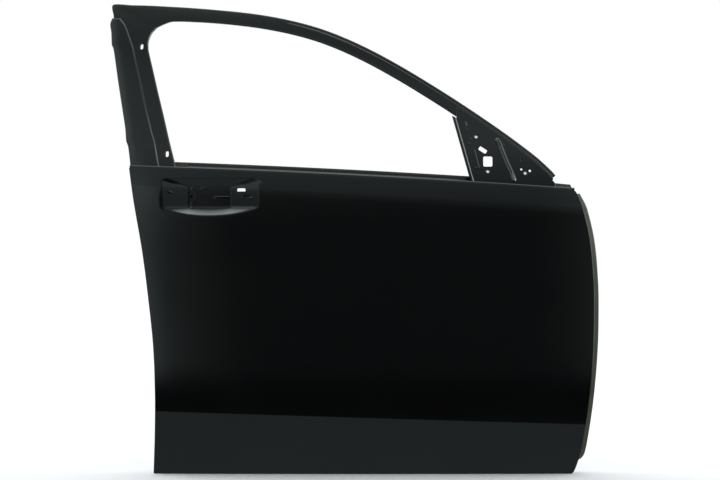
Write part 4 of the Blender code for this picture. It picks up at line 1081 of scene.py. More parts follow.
@dataclass
class GlassGuides:
    """Roll-formed channels that guide the glass, in front and at the rear."""

    side: BodySide
    lean: float = 0.2693
    front_top: Pair = (0.8431, 0.8790)
    rear_top: Pair = (0.1600, 0.7446)
    top_slant: float = 0.55
    end_z: float = 0.470
    front_section: tuple[Pair, ...] = (
        (0.0, 2.0), (5.8, 2.0), (8.4, 0.0), (10.5, 0.0), (10.5, 18.0), (0.0, 18.0),
    )
    rear_section: tuple[Pair, ...] = ((-1.5, 7.4), (-16.0, 7.4), (-16.0, 24.0), (-1.5, 24.0))
    front_radii: tuple[float, ...] = (0.8, 0.8, 1.2, 1.5)
    rear_radii: Pair = (1.5, 1.5)
    sheet: float = 1.0 * MM

    def channel(
        self, name: str, facing: Facing, top: Pair, section: Curve, radii: Sequence[float],
        slant: float,
    ) -> bpy.types.Object:
        """Makes one guide.

        Args:
            name: Name of the piece.
            facing: Side that its face looks to.
            top: Place of its upper end.
            section: Corners of its section, across and in depth, in millimetres.
            radii: Rounding of each inner corner, in millimetres.
            slant: How steeply its upper end is cut.

        Returns:
            The piece.
        """
        share = np.linspace(0.0, 1.0, 80)
        corners = []
        for across, depth in section:
            level = top[1] + (self.end_z - top[1]) * share
            level = level + slant * (section[-2][0] - across) * MM * (1 - share)
            middle = top[0] + (top[1] - level) * self.lean
            y = self.side.frame_y(middle, level) + depth * MM
            corners.append(np.stack([middle + across * MM, y, level], axis=1))
        piece = Sheet(name, facing, self.sheet)
        piece.lay(fillet(np.stack(corners, axis=1), [radius * MM for radius in radii]))
        return piece.build()

    def build(self) -> dict[str, bpy.types.Object]:
        """Makes both guides, by name of the CAD node."""
        return {
            "front_glass_guide": self.channel(
                "guide_front", Facing.FRONT, self.front_top, self.front_section, self.front_radii,
                self.top_slant,
            ),
            "rear_glass_guide": self.channel(
                "guide_rear", Facing.REAR, self.rear_top, self.rear_section, self.rear_radii, 0.0,
            ),
        }


@dataclass
class InnerPanel:
    """Deep-drawn inner panel: hem flange, joggled walls and a face with pressed beads and openings."""

    side: BodySide
    ring_insets: tuple[float, ...] = (1.6, 13.0, 15.0, 17.0, 18.0, 24.0, 30.0)
    ring_bottoms: tuple[float, ...] = (1.6, 13.0, 24.0, 32.0, 34.0, 44.0, 50.0)
    ring_radii: tuple[float, ...] = (10.0, 18.0, 20.0, 22.0, 24.0, 34.0, 40.0)
    ring_lifts: tuple[float, ...] = (2.0, 2.0, 9.0, 12.0, 26.0)
    fillets: tuple[float, ...] = (1.5, 1.5, 1.5, 4.0, 5.0)
    wall_corner: float = 6.0 * MM
    face_span: Pair = (0.06, 0.16)
    hinge_span: Pair = (1.11, 1.21)
    latch_span: Pair = (0.04, 0.14)
    shoulder_proud: float = 12.0 * MM
    shoulder_proud_top: float = 8.0 * MM
    rear_top_z: float = 0.742
    front_top_z: float = 0.690
    straight_low_z: float = 0.110
    side_cells: int = 84
    link_cells: int = 8
    arc_cells: int = 12
    top_cells: int = 14
    bottom_cells: int = 170
    belt_end_setback: float = 3.0 * MM
    service_corners: tuple[Pair, ...] = ((0.300, 0.300), (0.885, 0.345), (0.865, 0.615), (0.290, 0.625))
    service_radius: float = 0.045
    speaker: Pair = (1.010, 0.235)
    speaker_radius: float = 0.0825
    speaker_seat: float = 0.100
    latch_access: tuple[float, ...] = (0.165, 0.535, 0.056, 0.100, 0.020)
    sight_hole: tuple[float, float, float] = (0.3185, 0.6985, 0.013)
    lip_depth: float = 5.0 * MM
    lip_ramp: float = 9.0 * MM
    bead_depth: float = 4.0 * MM
    bead_ramp: float = 8.0 * MM
    beads: tuple[tuple[float, ...], ...] = (
        (0.590, 0.668, 0.520, 0.022, 0.010, -1.5), (0.570, 0.200, 0.560, 0.028, 0.012, 4.0),
        (0.570, 0.145, 0.620, 0.022, 0.010, 3.0), (0.990, 0.480, 0.022, 0.180, 0.010, 0.0),
        (0.205, 0.300, 0.024, 0.190, 0.010, 0.0),
    )
    clip_radius: float = 4.0 * MM
    clip_holes: tuple[Pair, ...] = (
        (0.150, 0.110), (0.330, 0.085), (0.560, 0.085), (0.790, 0.085), (1.110, 0.100),
        (0.140, 0.330), (1.125, 0.400), (0.165, 0.670), (1.090, 0.640),
    )
    nut_bore: float = 2.9 * MM
    nut_holes: tuple[Pair, ...] = ((0.250, 0.240), (0.930, 0.560), (0.240, 0.655), (0.930, 0.400))
    hinge_y: float = 0.076
    hinge_bolt_radius: float = 5.5 * MM
    hinge_bolt_levels: tuple[float, ...] = (0.578, 0.622, 0.198, 0.242)
    check_slot: tuple[float, ...] = (0.076, 0.410, 0.018, 0.040, 0.004)
    harness: tuple[float, float, float] = (0.076, 0.505, 0.019)
    latch_slot: tuple[float, ...] = (0.076, 0.520, 0.024, 0.050, 0.008)

    def front_x(self, ring: int, z: Array) -> Array:
        """Front edge of one ring of the tray at heights."""
        edge = self.side.front_x(z)
        if ring < 3:
            return edge - self.ring_insets[ring] * MM
        if ring == 3:
            fade = smooth_step(self.front_top_z - 0.040, self.front_top_z, z)
            return edge + self.shoulder_proud + (self.shoulder_proud_top - self.shoulder_proud) * fade
        wall = self.side.hinge_wall_x(z)
        return wall - self.wall_corner if ring == 6 else wall

    def rear_x(self, ring: int, z: Array) -> Array:
        """Rear edge of one ring of the tray at heights."""
        return self.side.rear_x(z) + self.ring_insets[ring] * MM

    def ring(self, number: int) -> Array:
        """One ring from the top of the rear edge, along the bottom, to the top of the front edge.

        Args:
            number: Number of the ring, from the hem to the face.

        Returns:
            Its places as x and z.
        """
        low = self.ring_bottoms[number] * MM
        radius = self.ring_radii[number] * MM
        turn = np.linspace(0.0, 1.0, self.arc_cells + 1)
        parts = []
        sides = ((self.rear_top_z, self.rear_x, -1.0), (self.front_top_z, self.front_x, 1.0))
        for top, edge, outwards in sides:
            high = np.linspace(top, self.straight_low_z, self.side_cells, endpoint=False)
            link = np.linspace(self.straight_low_z, low + radius, self.link_cells, endpoint=False)
            level = np.concatenate([high, link])
            start = edge(number, np.float64(low + radius))
            corner = edge(number, np.float64(low))
            end = corner - outwards * radius
            arc_x = (1 - turn) ** 2 * start + 2 * turn * (1 - turn) * corner + turn ** 2 * end
            arc_z = low + radius * (1 - turn) ** 2
            places = (np.append(edge(number, level), arc_x), np.append(level, arc_z))
            parts.append(np.stack(places, axis=1))
        rear, front = parts
        share = np.linspace(0.0, 1.0, self.bottom_cells + 1)[1:-1, None]
        bottom = rear[-1] + (front[-1] - rear[-1]) * share
        return np.vstack([rear, bottom, front[::-1]])

    def walls(self) -> Array:
        """Grid of the flange, the joggle and the walls, from the hem to the edge of the face."""
        chain = []
        for number in range(len(self.ring_insets)):
            places = self.ring(number)
            x, z = places[:, 0], places[:, 1]
            if number < len(self.ring_lifts):
                y = self.side.skin_y(x, z) + self.ring_lifts[number] * MM
            elif number == len(self.ring_lifts):
                y = self.side.face_y(x, z) - self.wall_corner
            else:
                y = self.side.face_y(x, z)
            chain.append(np.stack([x, y, z], axis=1))
        return fillet(np.stack(chain, axis=1), [radius * MM for radius in self.fillets], 4)

    def face(self) -> tuple[Array, Array]:
        """Places of the face's grid between its rear, lower, front and belt edges.

        Returns:
            Places along the door and heights, as rows and columns.
        """
        rim = self.ring(len(self.ring_insets) - 1)
        count = self.side_cells + self.link_cells + self.arc_cells + 1
        rear = rim[:count][::-1]
        front = rim[-count:]
        bottom = rim[count - 1:len(rim) - count + 1]
        top_x = np.linspace(rear[-1, 0], self.side.belt_front[0] - self.belt_end_setback, len(bottom))
        top = np.stack([top_x, self.side.inner_top_z(top_x)], axis=1)
        rise = np.linspace(0.0, 1.0, self.top_cells + 1)[1:, None]
        rear = np.vstack([rear, rear[-1] + (top[0] - rear[-1]) * rise])
        front = np.vstack([front, front[-1] + (top[-1] - front[-1]) * rise])
        u = np.linspace(0.0, 1.0, len(bottom))[None, :, None]
        height = rear[:, 1] + front[:, 1]
        v = ((height - height[0]) / (height[-1] - height[0]))[:, None, None]
        sides = (1 - u) * rear[:, None] + u * front[:, None]
        ends = (1 - v) * bottom[None] + v * top[None]
        corners = (1 - v) * ((1 - u) * bottom[0] + u * bottom[-1]) + v * ((1 - u) * top[0] + u * top[-1])
        places = sides + ends - corners
        return places[..., 0], places[..., 1]

    def relief(self, x: Array, z: Array) -> Array:
        """How far the beads, hole lips and the speaker seat stand towards the cabin."""
        raised = np.zeros(x.shape)
        for bead in self.beads:
            inside = -outline_distance(rounded_box(*bead), x, z)
            raised -= self.bead_depth * smooth_step(0.0, self.bead_ramp, inside)
        lips = [rounded(self.service_corners, self.service_radius), rounded_box(*self.latch_access)]
        for outline in lips:
            away = outline_distance(outline, x, z)
            raised -= self.lip_depth * (1 - smooth_step(-3 * MM, self.lip_ramp, away))
        away = np.hypot(x - self.speaker[0], z - self.speaker[1])
        seat = 1 - smooth_step(self.speaker_seat - 3 * MM, self.speaker_seat + 4 * MM, away)
        return raised + self.bead_depth * seat

    def holes(self) -> list[Punch]:
        """Holes of the face and of both walls."""
        holes = [
            Punch(rounded(self.service_corners, self.service_radius), "Y", *self.face_span),
            Punch(rounded_box(*self.latch_access), "Y", *self.face_span),
            Punch(circle(*self.speaker, self.speaker_radius, 96), "Y", *self.face_span),
            Punch(circle(*self.sight_hole), "Y", *self.face_span),
            Punch(rounded_box(*self.check_slot), "X", *self.hinge_span),
            Punch(circle(*self.harness), "X", *self.hinge_span),
            Punch(rounded_box(*self.latch_slot), "X", *self.latch_span),
        ]
        round_holes = [circle(x, z, self.clip_radius, 24) for x, z in self.clip_holes]
        round_holes += [circle(x, z, self.nut_bore, 20) for x, z in self.nut_holes]
        holes += [Punch(outline, "Y", *self.face_span) for outline in round_holes]
        holes += [
            Punch(circle(self.hinge_y, level, self.hinge_bolt_radius, 28), "X", *self.hinge_span)
            for level in self.hinge_bolt_levels
        ]
        return holes

    def build(self) -> bpy.types.Object:
        """Makes the panel with its beads, openings and bolt holes."""
        sheet = Sheet("inner_pressing", Facing.CABIN, self.side.inner_sheet)
        sheet.lay(self.walls())
        x, z = self.face()
        sheet.add(x, self.side.face_y(x, z) + self.relief(x, z), z)
        return sheet.build(self.holes())


@dataclass
class Reinforcements:
    """Impact tube across the door and the pressed strips on both sides of the glass slot."""

    side: BodySide
    tube_rear: tuple[float, float, float] = (0.160, 0.0300, 0.415)
    tube_front: tuple[float, float, float] = (1.112, 0.0300, 0.302)
    tube_radius: float = 0.017
    tube_wall: float = 2.2 * MM
    tube_sides: int = 96
    tube_edge: float = 0.4 * MM
    tube_smooth_angle: float = 30.0
    strip_sheet: float = 0.8 * MM
    strip_radius: float = 2.2 * MM
    strip_stations: int = 120
    outer_span: Pair = (0.385, 1.080)
    outer_section: tuple[Pair, ...] = (
        (0.0, 18.0), (0.0, 28.0), (9.0, 33.0), (9.0, 50.0), (0.0, 55.0), (0.0, 66.0),
    )
    inner_span: Pair = (0.185, 1.030)
    inner_section: tuple[Pair, ...] = (
        (0.0, -9.0), (0.0, -2.0), (8.0, 1.0), (8.0, 13.0), (0.0, 16.0), (0.0, 19.0),
    )

    def tube(self) -> bpy.types.Object:
        """Makes the impact tube with its open ends."""
        start = Vector(self.tube_rear) - UPPER_HINGE
        end = Vector(self.tube_front) - UPPER_HINGE
        run = end - start
        bore = self.tube_radius - self.tube_wall
        soft = self.tube_edge
        half = run.length / 2
        outside = self.tube_radius
        profile = [
            (outside, -half + soft), (outside, half - soft), (outside - soft, half), (bore + soft, half),
            (bore, half - soft), (bore, -half + soft), (bore + soft, -half), (outside - soft, -half),
        ]
        mesh = bmesh.new()
        rings = []
        for side in range(self.tube_sides):
            angle = 2 * math.pi * side / self.tube_sides
            rings.append([
                mesh.verts.new((radius * math.cos(angle), radius * math.sin(angle), level))
                for radius, level in profile
            ])
        for index, ring in enumerate(rings):
            before = rings[index - 1]
            for corner in range(len(profile)):
                mesh.faces.new((before[corner - 1], ring[corner - 1], ring[corner], before[corner]))
        bmesh.ops.recalc_face_normals(mesh, faces=mesh.faces[:])
        for edge in mesh.edges:
            edge.smooth = edge.calc_face_angle(0.0) < math.radians(self.tube_smooth_angle)
        turn = run.to_track_quat("Z", "Y").to_matrix().to_4x4()
        place = Matrix.Translation((start + end) / 2) @ turn
        bmesh.ops.transform(mesh, matrix=place, verts=mesh.verts[:])
        return new_piece("impact_tube", mesh, smooth=True)

    def strip(
        self, name: str, span: Pair, section: Curve, carrier: Callable[[Array, Array], Array],
        towards: float, facing: Facing,
    ) -> bpy.types.Object:
        """Makes one hat-shaped strip along the belt.

        Args:
            name: Name of the piece.
            span: Its two ends along the door.
            section: (depth, drop below the belt line) of each corner, in millimetres.
            carrier: Surface that it lies on.
            towards: 1 where it stands off towards the cabin, -1 towards the outside.
            facing: Side that its face looks to.

        Returns:
            The piece.
        """
        x = np.linspace(*span, self.strip_stations)
        belt = self.side.belt_z(x)
        corners = []
        for depth, drop in section:
            z = belt - drop * MM
            corners.append(np.stack([x, carrier(x, z) + towards * depth * MM, z], axis=1))
        sheet = Sheet(name, facing, self.strip_sheet)
        sheet.lay(fillet(np.stack(corners, axis=1), [self.strip_radius] * (len(section) - 2)))
        return sheet.build()

    def build(self) -> dict[str, bpy.types.Object]:
        """Makes the tube and both strips, by name of the CAD node."""
        side = self.side
        behind_skin = side.skin_sheet + side.curved_gap + self.strip_sheet
        before_face = side.inner_sheet + side.curved_gap + self.strip_sheet
        return {
            "impact_beam": self.tube(),
            "belt_reinforcement_outer": self.strip(
                "belt_strip_outer", self.outer_span, self.outer_section,
                lambda x, z: side.skin_y(x, z) + behind_skin, 1.0, Facing.CABIN,
            ),
            "belt_reinforcement_inner": self.strip(
                "belt_strip_inner", self.inner_span, self.inner_section,
                lambda x, z: side.face_y(x, z) - before_face, -1.0, Facing.OUTSIDE,
            ),
        }


@dataclass
class Hardware:
    """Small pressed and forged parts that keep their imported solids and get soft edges."""

    coated: tuple[str, ...] = (
        "beam_bracket_front", "beam_bracket_rear", "front_guide_bracket", "rear_guide_bracket",
        "hinge_reinforcement_upper", "hinge_reinforcement_lower", "check_strap_plate",
        "latch_reinforcement", "handle_bracket", "pull_handle_bracket",
    )
    plated: tuple[str, ...] = (
        "hinge_nut_plate_upper", "hinge_nut_plate_lower", "mirror_weld_nut_1", "mirror_weld_nut_2",
        "mirror_weld_nut_3", "panel_weld_nut_1", "panel_weld_nut_2", "panel_weld_nut_3",
        "panel_weld_nut_4",
    )
    pads: tuple[str, ...] = ("flutter_pad_1", "flutter_pad_2", "flutter_pad_3")
    sheet_edge: float = 0.25 * MM
    nut_edge: float = 0.5 * MM
    pad_edge: float = 1.2 * MM

    def dress(self, coat: bpy.types.Material, zinc: bpy.types.Material, mastic: bpy.types.Material) -> int:
        """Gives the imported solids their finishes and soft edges.

        Args:
            coat: Finish of the coated sheet parts.
            zinc: Finish of the plated nuts and plates.
            mastic: Finish of the pads.

        Returns:
            How many solids were dressed.
        """
        groups = (
            (self.coated, coat, self.sheet_edge), (self.plated, zinc, self.nut_edge),
            (self.pads, mastic, self.pad_edge),
        )
        for names, finish, edge in groups:
            for name in names:
                solid = frame["nodes"][name]
                for slot in solid.material_slots:
                    slot.material = finish
                soft = solid.modifiers.new("soft_edges", "BEVEL")
                soft.width = edge
                soft.segments = 2
                soft.limit_method = "ANGLE"
                soft.angle_limit = math.radians(40)
        return sum(len(names) for names, _, _ in groups)


@dataclass
class WeldsAndSealer:
    """Spot welds along the frame and the hinge wall, and the bead that seals the hem."""

    side: BodySide
    panel: InnerPanel
    frame: WindowFrame
    weld_radius: float = 3.1 * MM
    weld_height: float = 0.25 * MM
    weld_pitch: float = 55.0 * MM
    weld_inset: float = 6.0 * MM
    weld_margins: Pair = (0.06, 0.03)
    rear_levels: Pair = (0.72, 0.15)
    rear_inset: float = 7.0 * MM
    rear_lift: float = 3.25 * MM
    weld_sides: int = 16
    weld_profile: Curve = ((1.0, -0.1), (0.97, 0.35), (0.8, 0.85), (0.45, 1.0))
    bead_radius: float = 1.6 * MM
    bead_sides: int = 10
    bead_stride: int = 3
    bead_inset: float = 10.5 * MM
    bead_lift: float = 2.6 * MM
    bead_shape: Pair = (1.5, 0.7)
    bead_wobble: Curve = ((0.12, 1.7), (0.08, 0.61))

    def dome(self, mesh: bmesh.types.BMesh, place: Vector, out: Vector) -> None:
        """Adds one closed shallow dome.

        Args:
            mesh: Mesh that takes it.
            place: Middle of its foot.
            out: Direction that it stands in.
        """
        turn = out.to_track_quat("Z", "Y").to_matrix()
        rings = []
        for share, height in self.weld_profile:
            ring = circle(0.0, 0.0, self.weld_radius * share, self.weld_sides)
            level = self.weld_height * height
            rings.append([mesh.verts.new(place + turn @ Vector((a, b, level))) for a, b in ring])
        join_rings(mesh, rings)
        mesh.faces.new(rings[-1])
        mesh.faces.new(rings[0][::-1])

    def welds(self) -> bpy.types.Object:
        """Makes the spot welds on the cabin side of the frame and on the flange of the inner panel."""
        mesh = bmesh.new()
        stations = self.frame.stations()
        outer, _, unit = band_axes(stations)
        middle = outer + unit * self.weld_inset
        back = self.frame.set_back(stations)
        length = np.concatenate([[0.0], np.cumsum(np.linalg.norm(np.diff(middle, axis=0), axis=1))])
        _, _, depth, further = self.frame.inner_section[0]
        first, last = self.weld_margins
        for travelled in np.arange(first, length[-1] - last, self.weld_pitch):
            x = float(np.interp(travelled, length, middle[:, 0]))
            z = float(np.interp(travelled, length, middle[:, 1]))
            lift = (depth + further * float(np.interp(travelled, length, back))) * MM
            y = float(self.side.frame_y(np.float64(x), np.float64(z))) + lift
            slope = float(self.side.frame_y(np.float64(x), np.float64(z + MM)) + lift - y) / MM
            self.dome(mesh, Vector((x, y, z)) - UPPER_HINGE, Vector((0.0, 1.0, -slope)).normalized())
        for level in np.arange(*self.rear_levels, -self.weld_pitch):
            x = float(self.side.rear_x(np.float64(level))) + self.rear_inset
            y = float(self.side.skin_y(np.float64(x), np.float64(level))) + self.rear_lift
            self.dome(mesh, Vector((x, y, level)) - UPPER_HINGE, Vector((0.0, 1.0, 0.0)))
        return new_piece("spot_welds", mesh, smooth=True)

    def sealer(self) -> bpy.types.Object:
        """Makes the bead of sealer that runs over the hem's edge on the cabin side."""
        places = self.panel.ring(0)
        shift = np.zeros(places.shape)
        tangent = np.gradient(places, axis=0)
        tangent /= np.linalg.norm(tangent, axis=1, keepdims=True)
        shift[:, 0] = -tangent[:, 1]
        shift[:, 1] = tangent[:, 0]
        line = places + shift * (self.bead_inset - self.bead_radius)
        x, z = line[::self.bead_stride, 0], line[::self.bead_stride, 1]
        shift = shift[::self.bead_stride]
        y = self.side.skin_y(x, z) + self.bead_lift
        count = len(x)
        steps = np.arange(count)
        wobble = sum(height * np.sin(steps * pace) for height, pace in self.bead_wobble)
        wide, high = self.bead_shape
        mesh = bmesh.new()
        rings = []
        for index in range(count):
            radius = self.bead_radius * (1 + wobble[index])
            out = Vector((shift[index, 0], 0.0, shift[index, 1]))
            ring = []
            for a, b in circle(0.0, 0.0, 1.0, self.bead_sides):
                ring.append(mesh.verts.new(
                    Vector((x[index], y[index], z[index])) - UPPER_HINGE
                    + out * a * radius * wide + Vector((0.0, b * radius * high, 0.0))
                ))
            rings.append(ring)
        join_rings(mesh, rings)
        mesh.faces.new(rings[0])
        mesh.faces.new(rings[-1][::-1])
        bmesh.ops.recalc_face_normals(mesh, faces=mesh.faces[:])
        return new_piece("hem_sealer", mesh, smooth=True)


def hex_linear(code: str) -> tuple[float, float, float, float]:
    """Linear colour of an sRGB hex code.

    Args:
        code: The code, such as #0A0A0B.

    Returns:
        The linear colour with full alpha.
    """
    values = [int(code[start:start + 2], 16) / 255 for start in (1, 3, 5)]
    linear = [value / 12.92 if value <= 0.04045 else ((value + 0.055) / 1.055) ** 2.4 for value in values]
    return (*linear, 1.0)


def add_node(
    tree: bpy.types.NodeTree, kind: str, settings: dict[str, object] | None = None,
    values: dict[str | int, object] | None = None,
    links: dict[str | int, bpy.types.NodeSocket] | None = None,
) -> bpy.types.Node:
    """Adds a node with its settings, input values and links.

    Args:
        tree: Tree that takes it.
        kind: Blender's name for the node.
        settings: Properties of the node.
        values: Values of its inputs.
        links: Sockets that feed its inputs.

    Returns:
        The node.
    """
    node = tree.nodes.new(kind)
    for name, value in (settings or {}).items():
        setattr(node, name, value)
    for name, value in (values or {}).items():
        node.inputs[name].default_value = value
    for name, socket in (links or {}).items():
        tree.links.new(socket, node.inputs[name])
    return node


def span_values(places: Pair, levels: Pair = (0.0, 1.0)) -> dict[str | int, object]:
    """Input values of a Map Range node.

    Args:
        places: Where the range starts and ends.
        levels: What it gives there.

    Returns:
        The values by the names of the inputs.
    """
    return {"From Min": places[0], "From Max": places[1], "To Min": levels[0], "To Max": levels[1]}


def blank_material(name: str) -> tuple[bpy.types.Material, bpy.types.Node]:
    """New material with a bare Principled shader.

    Args:
        name: Name of the material.

    Returns:
        The material and its shader.
    """
    material = bpy.data.materials.new(name)
    material.use_nodes = True
    return material, material.node_tree.nodes["Principled BSDF"]


@dataclass(frozen=True)
class ElectroCoat:
    """Black cathodic electro-coat on zinc-coated steel sheet: dipped and baked, a thin smooth film.

    It gives the eye deep black with mirror-like but slightly softened reflections, faint long waves in them
    and a trace of dust and drier patches.
    """

    name: str
    colour: str
    dust_colour: str
    roughness: Pair
    wave_mm: float = 14.0
    wave_height_um: float = 5.0
    dust_mm: float = 1.4
    patch_mm: float = 160.0
    patch_span: Pair = (0.35, 0.65)
    speck_span: Pair = (0.66, 0.80)
    speck_share: float = 0.35
    refraction: float = 1.5

    def make(self) -> bpy.types.Material:
        """Makes the material."""
        material, shader = blank_material(self.name)
        tree = material.node_tree
        place = add_node(tree, "ShaderNodeTexCoord").outputs["Object"]
        # Dry patches as wide as a hand: film is thinner there and reflects a little softer
        patch = add_node(
            tree, "ShaderNodeTexNoise", {"noise_dimensions": "3D"},
            {"Scale": 1000 / self.patch_mm, "Detail": 3.0, "Roughness": 0.55}, {"Vector": place},
        )
        # Dust in the film is 0.1 mm across on the real sheet; it is drawn at 1.4 mm so that it shows
        dust = add_node(
            tree, "ShaderNodeTexNoise", {"noise_dimensions": "3D"},
            {"Scale": 1000 / self.dust_mm, "Detail": 1.0, "Roughness": 0.4}, {"Vector": place},
        )
        specks = add_node(
            tree, "ShaderNodeMapRange", {"interpolation_type": "SMOOTHSTEP"},
            span_values(self.speck_span, (0.0, self.speck_share)), {"Value": dust.outputs["Fac"]},
        )
        mixed = add_node(
            tree, "ShaderNodeMix", {"data_type": "RGBA"},
            {6: hex_linear(self.colour), 7: hex_linear(self.dust_colour)},
            {0: specks.outputs["Result"]},
        )
        tree.links.new(mixed.outputs[2], shader.inputs["Base Color"])
        softness = add_node(
            tree, "ShaderNodeMapRange", {}, span_values(self.patch_span, self.roughness),
            {"Value": patch.outputs["Fac"]},
        )
        tree.links.new(softness.outputs["Result"], shader.inputs["Roughness"])
        # Orange peel of a dipped film: waves 3 to 6 mm long, drawn at 14 mm so that they show
        peel = add_node(
            tree, "ShaderNodeTexNoise", {"noise_dimensions": "3D"},
            {"Scale": 1000 / self.wave_mm, "Detail": 1.0, "Roughness": 0.5}, {"Vector": place},
        )
        bump = add_node(
            tree, "ShaderNodeBump", {},
            {"Strength": 1.0, "Distance": 2 * self.wave_height_um * MICRON},
            {"Height": peel.outputs["Fac"]},
        )
        tree.links.new(bump.outputs["Normal"], shader.inputs["Normal"])
        shader.inputs["IOR"].default_value = self.refraction
        return material


@dataclass(frozen=True)
class ZincPlate:
    """Clear-passivated zinc on steel nuts: bright grey metal with a fine cloudy grain and duller flats."""

    name: str = "zinc_plated_steel_passivated"
    light: str = "#B9BCB8"
    dull: str = "#8E918C"
    cloud_mm: float = 2.5
    roughness: Pair = (0.28, 0.45)

    def make(self) -> bpy.types.Material:
        """Makes the material."""
        material, shader = blank_material(self.name)
        tree = material.node_tree
        place = add_node(tree, "ShaderNodeTexCoord").outputs["Object"]
        cloud = add_node(
            tree, "ShaderNodeTexNoise", {}, {"Scale": 1000 / self.cloud_mm, "Detail": 4.0},
            {"Vector": place},
        )
        mixed = add_node(
            tree, "ShaderNodeMix", {"data_type": "RGBA"},
            {6: hex_linear(self.light), 7: hex_linear(self.dull)}, {0: cloud.outputs["Fac"]},
        )
        tree.links.new(mixed.outputs[2], shader.inputs["Base Color"])
        softness = add_node(
            tree, "ShaderNodeMapRange", {}, span_values((0.0, 1.0), self.roughness),
            {"Value": cloud.outputs["Fac"]},
        )
        tree.links.new(softness.outputs["Result"], shader.inputs["Roughness"])
        shader.inputs["Metallic"].default_value = 1.0
        return material


@dataclass(frozen=True)
class Mastic:
    """Rubber-like mastic: squeezed from a nozzle and baked, matt dark grey with small dimples."""

    name: str
    colour: str
    worn: str
    dimple_mm: float = 1.6
    dimple_height_mm: float = 0.15
    roughness: float = 0.62

    def make(self) -> bpy.types.Material:
        """Makes the material."""
        material, shader = blank_material(self.name)
        tree = material.node_tree
        place = add_node(tree, "ShaderNodeTexCoord").outputs["Object"]
        grain = add_node(
            tree, "ShaderNodeTexNoise", {}, {"Scale": 1000 / self.dimple_mm, "Detail": 3.0},
            {"Vector": place},
        )
        mixed = add_node(
            tree, "ShaderNodeMix", {"data_type": "RGBA"},
            {6: hex_linear(self.colour), 7: hex_linear(self.worn)}, {0: grain.outputs["Fac"]},
        )
        tree.links.new(mixed.outputs[2], shader.inputs["Base Color"])
        bump = add_node(
            tree, "ShaderNodeBump", {}, {"Strength": 0.6, "Distance": self.dimple_height_mm * MM},
            {"Height": grain.outputs["Fac"]},
        )
        tree.links.new(bump.outputs["Normal"], shader.inputs["Normal"])
        shader.inputs["Roughness"].default_value = self.roughness
        return material


